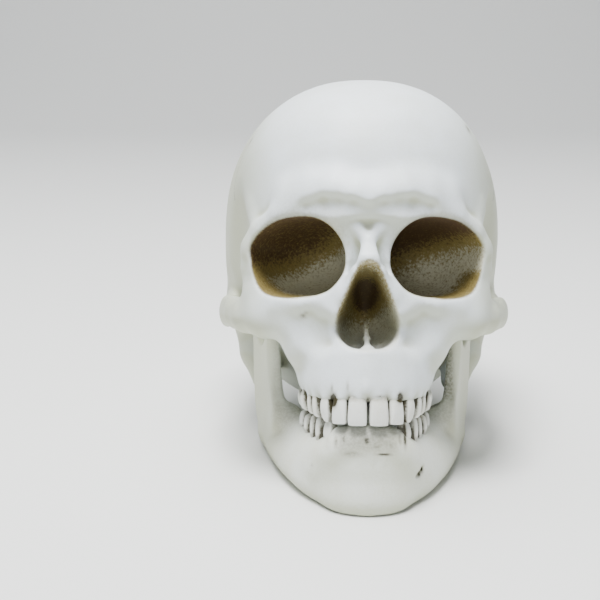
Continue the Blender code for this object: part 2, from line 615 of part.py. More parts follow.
def build():
    for thing in list(bpy.data.objects):
        bpy.data.objects.remove(thing)
    skull = bpy.data.collections.new("human_skull")
    cutters = bpy.data.collections.new("cutters")
    scene_collection = bpy.context.scene.collection
    scene_collection.children.link(skull)
    scene_collection.children.link(cutters)
    both = (skull, cutters)
    everywhere = (-EVERYWHERE, EVERYWHERE)

    rest = surface(cranium_clay(), "sphenoid", CRANIUM_TRIANGLES, skull)
    split(rest, "frontal", "yz", FRONTAL_SIDE, everywhere, both)
    parietal = split(rest, "parietal_right", "yz", PARIETAL_SIDE, everywhere, both)
    split(parietal, "parietal_left", "xz", LEFT_HALF, everywhere, both)
    split(rest, "occipital", "xy", OCCIPITAL_TOP, everywhere, both)
    for side, label in ((1, "left"), (-1, "right")):
        temporal = [(px * side, py) for px, py in TEMPORAL_TOP]
        zygomatic = [(px * side, py) for px, py in ZYGOMATIC_TOP]
        split(rest, "temporal_" + label, "xy", temporal, everywhere, both)
        split(rest, "zygomatic_" + label, "xy", zygomatic, everywhere, both)
    nasal = split(rest, "nasal_right", "xz", NASAL_FRONT, (-EVERYWHERE, NASAL_BACK), both)
    split(nasal, "nasal_left", "xz", LEFT_HALF, everywhere, both)
    maxilla = split(rest, "maxilla_right", "xy", MAXILLA_TOP, everywhere, both)
    other_maxilla = split(maxilla, "maxilla_left", "xz", LEFT_HALF, everywhere, both)
    mandible = surface(mandible_clay(), "mandible", MANDIBLE_TRIANGLES, skull)

    for thing, sides in ((other_maxilla, (1,)), (maxilla, (-1,))):
        plant_teeth(thing, scene_collection, "upper", UPPER_TEETH, UPPER_ARCH, UPPER_START,
                    UPPER_GAP, UPPER_GUM, UPPER_GUM_SLOPE, -1, sides)
    plant_teeth(mandible, scene_collection, "lower", LOWER_TEETH, LOWER_ARCH, LOWER_START,
                LOWER_GAP, LOWER_GUM, LOWER_GUM_SLOPE, 1, (1, -1))

    cream = (0.78, 0.77, 0.72)
    for thing in skull.objects:
        keep_largest(thing)
        stand_on_table(thing)
        keep_one_material(thing, new_material(thing.name + "_bone", cream, 0.55))


build()
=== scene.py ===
# %% [markdown]
# # A painted cast of a human skull
#
# The real object is a life-size cast of an adult skull: pale cream paint all over, with
# brown paint sprayed into the eye sockets and the nose, and a dark wash rubbed in between
# the teeth.  Its shape is one continuous carving with hardly a straight line in it.
#
# Most objects here could be made from profiles carried along paths.  Bone melts from
# ridge to hollow with no edges, so this lesson models it like clay instead: a block of
# space stores, at every grid point, the distance to the surface, and numpy melts rods and
# ellipsoids into it.  Blender's OpenVDB module then draws the surface where that distance
# is zero.  The teeth are two-parameter surfaces: round the tooth, and along it.

# %% Load the imported model and bake its solids' placement into their meshes
import math

import bpy
import numpy as np
import openvdb
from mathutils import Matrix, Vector
from mathutils.kdtree import KDTree


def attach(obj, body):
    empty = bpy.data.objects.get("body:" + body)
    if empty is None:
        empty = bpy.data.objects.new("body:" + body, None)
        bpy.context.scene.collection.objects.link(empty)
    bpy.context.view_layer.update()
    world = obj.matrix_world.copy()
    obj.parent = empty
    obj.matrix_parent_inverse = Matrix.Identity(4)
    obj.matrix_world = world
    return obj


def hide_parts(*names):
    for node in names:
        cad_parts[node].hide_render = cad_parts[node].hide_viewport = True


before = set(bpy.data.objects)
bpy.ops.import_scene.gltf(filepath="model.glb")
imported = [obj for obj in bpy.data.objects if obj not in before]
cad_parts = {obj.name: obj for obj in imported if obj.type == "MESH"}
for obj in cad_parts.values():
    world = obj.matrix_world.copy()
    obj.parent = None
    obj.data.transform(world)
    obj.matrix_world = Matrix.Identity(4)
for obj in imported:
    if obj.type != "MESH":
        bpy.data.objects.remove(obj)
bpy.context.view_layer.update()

# %% [markdown]
# ## Frames and units
#
# Anatomists measure a skull in its own level frame: x to its left, y to its back, z up,
# and the origin midway between the ear holes.  All sizes below are millimetres in that
# frame.  The finished points are leaned back, lifted onto the table and scaled to metres,
# exactly as the solids of the model are.

# %% From the skull's own frame to the table
LEAN_BACK = math.radians(18.0)
TABLE_HEIGHT = -61.3
DEPTH_CENTRE = -3.4
FLAT_SNAP = 0.00015


def turn_to_table(vectors):
    """Lean directions back: y' = y cos a + z sin a, z' = z cos a - y sin a."""
    x, y, z = np.asarray(vectors, float).T
    back = y * math.cos(LEAN_BACK) + z * math.sin(LEAN_BACK)
    return np.stack([x, back, z * math.cos(LEAN_BACK) - y * math.sin(LEAN_BACK)], axis=1)


def to_table(points):
    """The same turn, then the shift, in metres; what all but touches the table lies on it."""
    placed = (turn_to_table(points) - (0.0, DEPTH_CENTRE, TABLE_HEIGHT)) * 0.001
    placed[placed[:, 2] < FLAT_SNAP, 2] = 0.0
    return placed


# %% [markdown]
# ## Camera, floor and light
#
# The camera stands where the photograph's camera stood, which a fit of known landmarks
# of the face gave: half a metre in front, a little above the brow, looking down 13.5
# degrees.  The floor is one pale sweep that curves up far behind.  A wide soft light hangs
# under the ceiling, a small one above the brow models the face, a weak one fills from the
# front, and the dim world does the rest.

# %% The camera
camera_data = bpy.data.cameras.new("camera")
camera_data.sensor_width = 36.0
camera_data.lens = 62.34
camera_data.clip_start = 0.01
camera = bpy.data.objects.new("camera", camera_data)
camera.location = (-0.01677, -0.49628, 0.1844)
camera.rotation_euler = [math.radians(a) for a in (76.506, -0.023, 1.543)]
bpy.context.scene.collection.objects.link(camera)
bpy.context.scene.camera = camera

# %% The floor
FLOOR_FRONT, FLOOR_HALF_WIDTH, FLOOR_DROP = -4.0, 5.0, 0.0002


def plain_material(name, colour, roughness):
    """A plain painted surface of one colour."""
    material = bpy.data.materials.new(name)
    material.use_nodes = True
    shader = material.node_tree.nodes["Principled BSDF"]
    shader.inputs["Base Color"].default_value = (*colour, 1.0)
    shader.inputs["Roughness"].default_value = roughness
    return material


def sweep_profile(back, radius, top, steps=24):
    """Flat, then a quarter circle (back + r sin t, r - r cos t), then straight up."""
    turn = np.linspace(0, math.pi / 2, steps)
    arc = np.stack([back + radius * np.sin(turn), radius - radius * np.cos(turn)], axis=1)
    return np.vstack([[FLOOR_FRONT, 0.0], arc, [back + radius, top]])


profile = sweep_profile(back=1.9, radius=1.2, top=3.0)
sides = np.array([-FLOOR_HALF_WIDTH, FLOOR_HALF_WIDTH])
floor_points = np.stack([np.tile(sides, len(profile)), np.repeat(profile[:, 0], 2),
                         np.repeat(profile[:, 1], 2) - FLOOR_DROP], axis=1)
floor_faces = 2 * np.arange(len(profile) - 1)[:, None] + np.array([0, 1, 3, 2])
floor_mesh = bpy.data.meshes.new("floor")
floor_mesh.from_pydata(floor_points.tolist(), [], floor_faces.tolist())
floor_mesh.shade_smooth()
floor_mesh.materials.append(plain_material("floor_paint", (0.80, 0.81, 0.80), 0.6))
floor = bpy.data.objects.new("floor", floor_mesh)
bpy.context.scene.collection.objects.link(floor)

# %% The lights


def soft_light(name, place, size, power, colour):
    """A square area light that faces the middle of the skull."""
    data = bpy.data.lights.new(name, "AREA")
    data.size = size
    data.energy = power
    data.color = colour
    light = bpy.data.objects.new(name, data)
    light.location = place
    aim = Vector((0.0, 0.0, 0.09)) - light.location
    light.rotation_euler = aim.to_track_quat("-Z", "Y").to_euler()
    bpy.context.scene.collection.objects.link(light)
    return light


soft_light("ceiling_light", (-0.4, 0.4, 3.0), 3.2, 150.0, (0.98, 0.99, 1.0))
soft_light("key_light", (-0.10, -0.24, 1.20), 0.45, 28.0, (1.0, 0.995, 0.98))
soft_light("fill_light", (-0.12, -1.25, 0.42), 0.7, 4.0, (0.97, 0.99, 1.0))
world = bpy.data.worlds.new("studio")
world.use_nodes = True
background = world.node_tree.nodes["Background"]
background.inputs["Color"].default_value = (0.86, 0.88, 0.90, 1.0)
background.inputs["Strength"].default_value = 0.16
bpy.context.scene.world = world

# %% [markdown]
# ## Clay: a field of distances
#
# A block of clay is a grid of numbers, positive outside the shape and negative inside.
# Adding a shape takes the smaller of two distances, digging takes the larger of one and
# minus the other.  A polynomial smooth minimum rounds the join over a chosen length,
# which is what makes bone look like bone.

# %% The clay and its two tools
CLAY_STEP = 0.8
FAR_AWAY = 40.0


def smooth_min(first, second, blend):
    """second + (first - second) h - blend h (1 - h), h = 0.5 + (second - first) / 2 blend."""
    share = np.clip(0.5 + 0.5 * (second - first) / blend, 0.0, 1.0)
    return second + (first - second) * share - blend * share * (1.0 - share)


class Clay:
    """A block of space that holds, at each grid point, the distance to the surface."""

    def __init__(self, low, high):
        self.low = np.array(low, np.float32)
        self.axes = [np.arange(a, b + CLAY_STEP, CLAY_STEP, dtype=np.float32)
                     for a, b in zip(low, high)]
        self.field = np.full([len(axis) for axis in self.axes], FAR_AWAY, np.float32)

    def grid(self, window=(slice(None),) * 3):
        x, y, z = (axis[part] for axis, part in zip(self.axes, window))
        return x[:, None, None], y[None, :, None], z[None, None, :]

    def sculpt(self, shape, blend, mirrored, digging):
        """Melt a shape into the clay, or dig it out, only in the window round it."""
        low, high, distance = shape
        for side in (1, -1)[:2 if mirrored else 1]:
            ends = sorted((low[0] * side, high[0] * side))
            margin = blend + 2 * CLAY_STEP
            window = tuple(slice(np.searchsorted(axis, a - margin),
                                 np.searchsorted(axis, b + margin, "right"))
                           for axis, (a, b) in zip(self.axes, [ends, (low[1], high[1]),
                                                               (low[2], high[2])]))
            x, y, z = self.grid(window)
            there = np.asarray(distance(x * side, y, z), np.float32)
            here = self.field[window]
            self.field[window] = (-smooth_min(-here, there, blend) if digging
                                  else smooth_min(here, there, blend))

    def add(self, shape, blend=4.0, mirrored=True):
        self.sculpt(shape, blend, mirrored, digging=False)

    def dig(self, shape, blend=2.0, mirrored=True):
        self.sculpt(shape, blend, mirrored, digging=True)

    def rest_on_table(self):
        """Cut off what lies below the table's plane."""
        _, y, z = self.grid()
        height = z * math.cos(LEAN_BACK) - y * math.sin(LEAN_BACK) - TABLE_HEIGHT
        self.field = np.maximum(self.field, -height)


# %% Shapes to melt in: ellipsoids and chains of tapering rods


def ellipsoid(centre, semi):
    """k (k - 1) / g, where k is the length of p / r and g the length of p / r squared."""
    centre, semi = np.array(centre, float), np.array(semi, float)

    def distance(*point):
        steps = [axis - middle for axis, middle in zip(point, centre)]
        near = np.sqrt(sum((step / r) ** 2 for step, r in zip(steps, semi)))
        slope = np.sqrt(sum((step / r ** 2) ** 2 for step, r in zip(steps, semi)))
        return near * (near - 1) / np.maximum(slope, 1e-6)
    return centre - semi, centre + semi, distance


def rod(points, radii, thin=1.0):
    """The distance to each straight run less its radius there; thin flattens it along x."""
    squeeze = np.array([thin, 1.0, 1.0])
    points = np.array(points, float)
    radii = np.broadcast_to(np.array(radii, float), len(points))
    reach = radii.max()

    def distance(x, y, z):
        point = (x * thin, y, z)
        result = None
        ends = points * squeeze
        for start, end, r_start, r_end in zip(ends[:-1], ends[1:], radii[:-1], radii[1:]):
            run = end - start
            along = sum((axis - a) * r for axis, a, r in zip(point, start, run)) / (run @ run)
            along = np.clip(along, 0.0, 1.0)
            away = np.sqrt(sum((axis - a - along * r) ** 2
                               for axis, a, r in zip(point, start, run)))
            away = (away - r_start - (r_end - r_start) * along) / thin
            result = away if result is None else smooth_min(result, away, 2.0)
        return result
    return points.min(axis=0) - reach, points.max(axis=0) + reach, distance


def spline(points, count):
    """Count points along the Catmull-Rom curve, the cubic through the given points."""
    knots = np.array(points, float)
    knots = np.vstack([2 * knots[0] - knots[1], knots, 2 * knots[-1] - knots[-2]])
    along = np.linspace(0, len(points) - 1, count)
    first = np.minimum(along.astype(int), len(points) - 2)
    part = (along - first)[:, None]
    a, b, c, d = (knots[first + shift] for shift in range(4))
    return 0.5 * (2 * b + (c - a) * part + (2 * a - 5 * b + 4 * c - d) * part ** 2
                  + (3 * b - a - 3 * c + d) * part ** 3)


def mirrored_back(side):
    """The points of one side of an outline, mirrored, from the last back to the first."""
    return [(-across, along) for across, along in reversed(side)]


def within(first, second, outline):
    """True where a ray from the point crosses the outline's edges an odd number of times."""
    inside = np.zeros(len(first), bool)
    corners = np.array(outline, float)
    for (a0, b0), (a1, b1) in zip(corners, np.roll(corners, -1, axis=0)):
        if b0 != b1:
            crossing = (b0 > second) != (b1 > second)
            inside ^= crossing & (first < (a1 - a0) * (second - b0) / (b1 - b0) + a0)
    return inside


# %% [markdown]
# ## The braincase
#
# The braincase is egg-shaped but for its flattened base.  Its outline from the side is a
# closed smooth curve, read as a radius for each direction round a middle point.  Its
# half-width is a curve along the length.  A rounded-square sum of the two ratios gives
# one number that is 1 on the surface, and dividing by its slope turns it into a distance.

# %% The braincase from two outlines
BRAINCASE_CENTRE = (0.0, 38.0)
BRAINCASE_OUTLINE = [(-92, 38), (-92.5, 50), (-90, 65), (-83, 79), (-67, 92), (-45, 100.8),
                     (-20, 107.8), (0, 111.3), (20, 112.3), (45, 107.5), (65, 97), (80, 80),
                     (88.5, 60), (91, 40), (90, 20), (86.5, 0), (80, -18), (71, -33), (61, -44.4),
                     (50, -48.8), (36, -45.5), (20, -38), (4, -31), (-20, -26), (-45, -22),
                     (-66, -8), (-80, 8), (-89, 25)]
BRAINCASE_HALF_WIDTH = [(-100, 60), (-60, 62.5), (-30, 63.5), (0, 67.5), (18, 69.3), (36, 68.8),
                        (54, 65), (72, 61), (95, 58)]
BRAINCASE_ROUNDNESS = 2.3


def rim_share(across, above, outline):
    """Distance from the middle as a share of the closed outline's radius in that direction."""
    loop = np.array(outline + outline[:3], float)
    curve = spline(loop, 30 * (len(outline) + 2) + 1)[30:-30]
    turns = np.arctan2(curve[:, 1], curve[:, 0]) % (2 * math.pi)
    order = np.argsort(turns)
    radii = np.hypot(curve[:, 0], curve[:, 1])[order]
    turn = np.arctan2(above, across) % (2 * math.pi)
    return np.hypot(across, above) / np.interp(turn, turns[order], radii,
                                               period=2 * math.pi)


def fill_braincase(clay):
    """(|x| / w(y)) ^ n + (share of the side outline's radius) ^ n = 1, n = 2.3."""
    x, y, z = clay.grid()
    y_middle, z_middle = BRAINCASE_CENTRE
    outline = [(py - y_middle, pz - z_middle) for py, pz in BRAINCASE_OUTLINE]
    widths = spline(BRAINCASE_HALF_WIDTH, 200)
    half_width = np.interp(y, widths[:, 0], widths[:, 1])
    level = ((np.abs(x) / half_width) ** BRAINCASE_ROUNDNESS
             + rim_share(y - y_middle, z - z_middle, outline) ** BRAINCASE_ROUNDNESS)
    level = level.astype(np.float32) ** (1 / BRAINCASE_ROUNDNESS) - 1
    slope = np.sqrt(sum(part ** 2 for part in np.gradient(level, CLAY_STEP)))
    clay.field = np.minimum(clay.field, level / np.maximum(slope, 0.007))


# %% [markdown]
# ## The eye sockets and the nose
#
# Each pocket has a closed outline, drawn as a handful of points, that shrinks as it runs
# inwards.  A socket's outer end droops and it narrows to an apex behind the nose's root.
# The nose opening is a pear.  Both functions are used twice, once to dig the pockets and
# once to tell where the sprayed paint goes.

# %% The pocket of an eye socket
SOCKET_MOUTH = np.array((29.0, -76.0, 15.0))
SOCKET_APEX = np.array((16.5, -42.0, 18.0))
SOCKET_OUTLINE = [(20.2, 6.2), (13.4, 12.5), (3.8, 16.0), (-9.3, 16.0), (-17.3, 10.8),
                  (-21.4, 0.5), (-19.3, -9.8), (-12.2, -15.3), (1.5, -16.6), (13.0, -14.4),
                  (18.8, -8.0), (20.6, -1.0)]
SOCKET_SIZE = 18.0
POCKET_TAPER = 2.2


def socket_axes():
    """Unit vectors outwards, upwards and inwards, and the socket's depth."""
    inward = SOCKET_APEX - SOCKET_MOUTH
    depth = np.linalg.norm(inward)
    inward = inward / depth
    outward = np.cross((0.0, 0.0, 1.0), inward)
    outward *= np.sign(outward[0]) / np.linalg.norm(outward)
    upward = np.cross(inward, outward)
    return outward, upward * np.sign(upward[2]), inward, depth


def socket_place(x, y, z):
    """How far outwards, upwards and inwards a point lies, inwards as a share of the depth."""
    outward, upward, inward, depth = socket_axes()
    steps = [axis - middle for axis, middle in zip((x, y, z), SOCKET_MOUTH)]
    across, above, inside = (sum(step * part for step, part in zip(steps, axis))
                             for axis in (outward, upward, inward))
    return across, above, inside / depth


def socket_distance(x, y, z):
    """(share of the outline's radius - q) times the size; q falls from 1 to 0 inwards."""
    across, above, inside = socket_place(x, y, z)
    taper = np.sqrt(np.clip(1 - np.clip(inside, 0, 1) ** POCKET_TAPER, 0.0001, 1))
    wall = (rim_share(across, above, SOCKET_OUTLINE) - taper) * SOCKET_SIZE
    depth = socket_axes()[3]
    return np.where(inside > 1, np.maximum(wall, (inside - 1) * depth), wall)


def eye_socket():
    low = (SOCKET_MOUTH[0] - 28, -112.0, -12.0)
    return low, (SOCKET_MOUTH[0] + 34, SOCKET_APEX[1] + 4, 42.0), socket_distance


# %% The pocket of the nose
NOSE_MIDDLE = -8.0
NOSE_SIDE = [(3.1, 17.4), (5.2, 14.4), (7.4, 9.4), (9.9, 3.6), (12.0, -2.0), (12.5, -6.5),
             (11.0, -11.6), (7.0, -15.2)]
NOSE_OUTLINE = [(0, 18.6), *NOSE_SIDE, (0, -16.2), *mirrored_back(NOSE_SIDE)]
NOSE_RIM_Y, NOSE_DEPTH, NOSE_SIZE = -88.0, 42.0, 12.5


def nose_distance(x, y, z):
    """(share of the pear's radius - q) times the size; q falls from 1 to 0 inwards."""
    inside = np.clip((y - NOSE_RIM_Y) / NOSE_DEPTH, 0, 1)
    taper = np.sqrt(np.clip(1 - inside ** POCKET_TAPER, 0.001, 1))
    wall = (rim_share(x, z - NOSE_MIDDLE, NOSE_OUTLINE) - taper) * NOSE_SIZE
    back = y - NOSE_RIM_Y - NOSE_DEPTH
    return np.where(back > 0, np.maximum(wall, back), wall)


def nose_opening():
    return (-13.0, -112.0, -26.0), (13.0, NOSE_RIM_Y + NOSE_DEPTH + 2, 13.0), nose_distance


# %% [markdown]
# ## The face and the base
#
# The order is a sculptor's: the egg first, then the hollows behind the cheeks, the rims
# and ridges, the pockets, and last the arches and the knobs round the ear.

# %% The whole cranium in clay
UPPER_RIDGE = [(0, -89.6), (8, -88), (14.5, -83.4), (19, -75), (21.6, -65), (23, -55),
               (23.6, -46)]
# Each root: x, y, how far it leans back, and its length.
UPPER_ROOTS = [(3.8, -93.4, 1.6, 9), (10.8, -91.2, 2.0, 9), (16.8, -86.6, 3.4, 14),
               (20.6, -79.8, 2.4, 10), (23, -73.5, 1.6, 9), (25.4, -65.5, 1.0, 8)]


def cranium_clay():
    clay = Clay((-76, -108, -66), (76, 98, 120))
    fill_braincase(clay)
    # The hollows behind the cheeks.
    clay.dig(ellipsoid((70, -46, 12), (19.5, 25, 40)), 10)
    clay.dig(ellipsoid((56, -26, -24), (19, 24, 26)), 8)
    clay.dig(ellipsoid((46, -42, -26), (25, 17, 25)), 8)
    # The cones round the eye sockets, the brow and the socket's outer rim.
    clay.add(rod([(29, -67, 14), (17, -36, 18)], [21.5, 14]), 6)
    clay.add(rod([(6, -85, 31.5), (13, -85, 33.2), (25, -83, 34.6), (37, -77.5, 32.6),
                  (45.5, -70.5, 27.4), (49.5, -66, 20)], [3.4, 3.6, 3.8, 4, 4, 4]), 5)
    clay.add(rod([(0, -85.6, 35), (7, -86.9, 37.4), (14, -86.4, 39.4), (22, -83, 40.6),
                  (30, -78, 40)], [8.6, 8.8, 8.6, 8.2, 7.4]), 8)
    clay.dig(ellipsoid((0, -97.3, 26), (13, 8.4, 5.2)), 5, mirrored=False)
    clay.dig(rod([(0, -98.4, 30.2), (7, -99, 32.4), (14, -98.2, 33.6), (20, -96, 34.2),
                  (27, -92, 33.4)], [5, 5.4, 5.6, 5.4, 4.2]), 1.6)
    clay.add(rod([(49.5, -66, 21), (50.2, -63.5, 12), (48.5, -64, 2), (45, -67, -5)],
                 [4.2, 4.0, 4.6, 6]), 4)
    clay.add(rod([(46, -66, 27), (48, -57.5, 39), (49.5, -46, 53)], [3, 2.6, 1.4]), 6)
    # The upper jaw and the rim below the socket.
    clay.add(ellipsoid((0, -64, -10), (25, 22, 30)), 8)
    clay.add(ellipsoid((21, -64, -15), (16, 18, 20)), 8)
    clay.add(rod([(13, -83, 3), (19, -82, -2.4), (28, -79.4, -5), (38, -74.6, -4.6),
                  (46, -68.6, 0)], [3.0, 3.2, 3.4, 3.8, 4.2]), 5)
    clay.add(rod([(8, -82.8, 25), (9.2, -83.6, 14), (13, -83.6, 3), (16.5, -81.5, -8)],
                 [2.6, 2.8, 3.4, 5.2]), 4)
    # The cheekbone and the buttress down to the molars.
    clay.add(rod([(34, -70, -11), (43, -66.5, -10), (51, -59, -8.5), (56.5, -50, -7)],
                 [7, 8.6, 7.4, 5.2]), 6)
    clay.add(rod([(37, -63, -10), (29.5, -63, -16.5), (24.5, -62, -26), (23.5, -61, -33)],
                 [6, 5.2, 5, 5]), 5)
    for height, radius in ((-27, 5.0), (-33.5, 5.4), (-39.6, 5.4)):
        ridge = spline([(px, py, height + 0.07 * (py + 90)) for px, py in UPPER_RIDGE], 13)
        clay.add(rod(ridge, radius), 4)
    for x, y, lean, length in UPPER_ROOTS:
        clay.add(rod([(x, y, -43.5), (x - 0.06 * x, y + lean, -43.5 + length)], [1.7, 0.9]), 2.5)
    clay.add(rod([(13, -36, -8), (15, -36, -26), (16.5, -34, -40)], [7, 4.5, 3]), 5)
    # The rim of the nose opening and the nasal bones.
    clay.add(rod([(0, -94.5, 12), (4.6, -92, 7.5), (9.6, -87, -2), (12.8, -84.5, -10),
                  (12.5, -84, -17), (7.5, -86, -23), (0, -88.5, -25)],
                 [2.8, 3.2, 3.6, 3.6, 3.6, 3.6, 4]), 4)
    clay.add(rod([(5, -87.4, 26.8), (0.7, -90.7, 20.4), (2.6, -95, 12.8)], [2.0, 1.9, 2.3]), 3)
    clay.dig(rod([(6.8, -92.4, 21.5), (7.4, -93.8, 14), (11.5, -92.6, 5)], [2.4, 2.4, 2]), 3)
    # The pockets.
    clay.dig(eye_socket(), 2.5)
    clay.dig(nose_opening(), 1.5, mirrored=False)
    clay.dig(ellipsoid((0, -60, -48), (17, 30, 13)), 4, mirrored=False)
    clay.dig(ellipsoid((25, -87.6, -17), (12, 8.2, 9)), 5)
    clay.add(rod([(0, -88, -24.5), (0, -74, -19), (0, -60, -10)], [1.2, 1.2, 1.1]), 3,
             mirrored=False)
    clay.add(rod([(0, -91.5, -24.6), (0, -87, -24.6)], [1.1, 2.2]), 2, mirrored=False)
    clay.add(ellipsoid((-1.2, -95.2, -39.5), (1.5, 1.4, 2.8)), 1.5, mirrored=False)
    # The cheek arch, the ear region and the jaw joint's hollow.
    clay.add(rod(spline([(55, -53, -7.5), (60.5, -42, -5.5), (63.4, -30, -4.6), (63.6, -20, -4),
                         (61.5, -7, -1.5), (58, 2, 2)], 13), 6.0, thin=2.0), 4)
    clay.add(rod([(60, -6, -1), (59.5, 8, 3), (59, 28, 6)], [5, 6, 5]), 10)
    clay.add(rod([(53, 15, -6), (50.5, 14, -22), (47.5, 12.5, -35)], [11, 10, 7]), 7)
    clay.dig(ellipsoid((51, -9, -4), (11.5, 7, 7.5)), 3)
    clay.dig(rod([(70, 4, -3), (48, 2, -1)], 4.2), 2.5)
    # The base: the spinal hole, and the ridge low on the back of the head.
    clay.dig(ellipsoid((0, 14, -44), (14.5, 17.5, 18)), 3, mirrored=False)
    clay.add(rod([(0, 84, 2), (20, 79, 0), (38, 66, -3)], [2.5, 2, 1]), 16)
    clay.rest_on_table()
    return clay


# %% The lower jaw in clay
JAW_GUM = [(0, -86, -60.4), (8, -84.8, -61), (11.5, -83, -64), (14.8, -79.4, -66.4),
           (18.6, -71, -65.2), (21.5, -61, -63), (24.5, -50, -60), (29.5, -41, -56.5),
           (35.5, -35, -51.5)]
JAW_BASE = [(0, -77.5), (7, -76.3), (15, -71.5), (22.2, -63.5), (28, -53.5), (33, -42.5),
            (37.4, -29), (40, -15), (40.6, -9)]
JAW_BASE_RADIUS = 6.4
JAW_BASE_LIFT = [5.8, 5.9, 6.1, 6.6, 7.2, 7.4, 7.0, 6.2, 5.9]


def on_table(path, lifts):
    """Heights for a path (x, y) that runs the given lifts above the table."""
    return [(px, py, (TABLE_HEIGHT + lift + py * math.sin(LEAN_BACK)) / math.cos(LEAN_BACK))
            for (px, py), lift in zip(path, lifts)]


BRANCH_OUTLINE = [(-41.5, -4), (-40, -14), (-38, -26), (-38.5, -40), (-43, -51), (-36, -61),
                  (-18, -63), (-6, -59), (-1.5, -48), (-3, -32), (-6, -18), (-6.5, -6),
                  (-12, -5), (-16, -13), (-25, -19), (-33, -15), (-38, -5)]
BRANCH_PLACE = (49.3, -8.0, -21.0)
BRANCH_FLARE = (0.28, 0.08)
BRANCH_THICKNESS = 6.2
BRANCH_ROUNDING = 2.6


def outline_distance(first, second, outline):
    """Distance to the nearest edge of a closed outline, negative inside."""
    corners = spline(np.array(outline + outline[:1], float), 4 * len(outline) + 1)[:-1]
    nearest = np.full(np.broadcast(first, second).shape, 1e6)
    for (a0, b0), (a1, b1) in zip(corners, np.roll(corners, -1, axis=0)):
        run = np.array([a1 - a0, b1 - b0])
        along = ((first - a0) * run[0] + (second - b0) * run[1]) / (run @ run)
        along = np.clip(along, 0, 1)
        away = (first - a0 - along * run[0]) ** 2 + (second - b0 - along * run[1]) ** 2
        nearest = np.minimum(nearest, away)
    flat = [np.broadcast_to(axis, nearest.shape).ravel() for axis in (first, second)]
    inside = within(*flat, corners).reshape(nearest.shape)
    return np.where(inside, -1, 1) * np.sqrt(nearest)


def branch_plate():
    """An outline in side view, given thickness about a tilted plane, with rounded edges."""
    x_middle, y_middle, z_middle = BRANCH_PLACE

    def distance(x, y, z):
        side = outline_distance(y, z, BRANCH_OUTLINE) + BRANCH_ROUNDING
        plane = x_middle + BRANCH_FLARE[0] * (y - y_middle) + BRANCH_FLARE[1] * (z - z_middle)
        depth = np.abs(x - plane) * 0.96 - BRANCH_THICKNESS / 2 + BRANCH_ROUNDING
        outer = np.hypot(np.maximum(side, 0), np.maximum(depth, 0))
        return outer + np.minimum(np.maximum(side, depth), 0) - BRANCH_ROUNDING
    return (34.0, -46.0, -67.0), (56.0, 1.0, -1.0), distance


# Each stump: x, y, the height of its top, and its radius there.
LOWER_STUMPS = [(-11.6, -85.6, -58.4, 2.5), (-7.4, -88.2, -59.6, 2.2), (-2.6, -89.4, -60.2, 2.1),
                (2.2, -89.6, -59.8, 2.2), (6.8, -88.6, -60.4, 2.1), (11.2, -86, -59.2, 2.4)]


def mandible_clay():
    clay = Clay((-62, -100, -106), (62, 12, 14))
    for gum, base in zip(spline(JAW_GUM, 24), spline(on_table(JAW_BASE, JAW_BASE_LIFT), 24)):
        clay.add(rod([gum, (gum + base) / 2, base], [4.4, 5.0, JAW_BASE_RADIUS]), 5)
    clay.add(ellipsoid((0, -78.5, -84), (15, 6.5, 8)), 8, mirrored=False)
    for x, y, top, radius in LOWER_STUMPS:
        clay.add(rod([(x, y, top), (x * 0.95, y + 1.2, top - 9)], [radius, 1.0]), 2,
                 mirrored=False)
    clay.dig(rod([(22.6, -76.6, -72.5), (20.6, -78.8, -75.6)], [1.1, 0.9]), 0.8, mirrored=False)
    # The upright branch with its two horns, and the joint's head.
    clay.add(branch_plate(), 4)
    clay.add(ellipsoid((50.5, -9, -4.5), (9.5, 4.6, 5)), 4)
    clay.rest_on_table()
    return clay


# %% [markdown]
# ## From clay to surface
#
# OpenVDB puts a vertex in every cell that the zero level crosses and joins them with
# quads.  A couple of rounds of averaging with the neighbours take out the last trace of
# the grid.

# %% Draw the zero level
SMOOTHING_ROUNDS, BROAD_ROUNDS = 2, 24


def relaxed(points, quads, rounds, share=1.0):
    """Each round moves every point by the share given to the mean of its neighbours."""
    pairs = np.concatenate([quads[:, [i, (i + 1) % 4]] for i in range(4)])
    count = np.bincount(pairs[:, 0], minlength=len(points)) + 1e-9
    for _ in range(rounds):
        mean = np.stack([np.bincount(pairs[:, 0], points[pairs[:, 1], axis], len(points))
                         for axis in range(3)], axis=1) / count[:, None]
        points = (1 - share) * points + share * mean
    return points


def surface_of(clay):
    """The points of the zero level, in the skull's frame, and its quads."""
    grid = openvdb.FloatGrid(FAR_AWAY)
    grid.copyFromArray(clay.field)
    points, quads = grid.convertToQuads(isovalue=0.0)
    quads = quads.astype(np.int64)
    points = relaxed(points.astype(float), quads, SMOOTHING_ROUNDS, 0.5)
    return points * CLAY_STEP + clay.low, quads


def smooth_normals(points, quads):
    """Each vertex's mean of its quads' normals; a quad's is the cross of its diagonals."""
    cross = np.cross(points[quads[:, 2]] - points[quads[:, 0]],
                     points[quads[:, 3]] - points[quads[:, 1]])
    total = np.stack([sum(np.bincount(quads[:, corner], cross[:, axis], len(points))
                          for corner in range(4)) for axis in range(3)], axis=1)
    return total / np.maximum(np.linalg.norm(total, axis=1), 1e-9)[:, None]


def hollow_depth(points, quads, normals):
    """How far each point lies below the surface averaged over a few millimetres."""
    return np.sum((relaxed(points, quads, BROAD_ROUNDS) - points) * normals, axis=1)


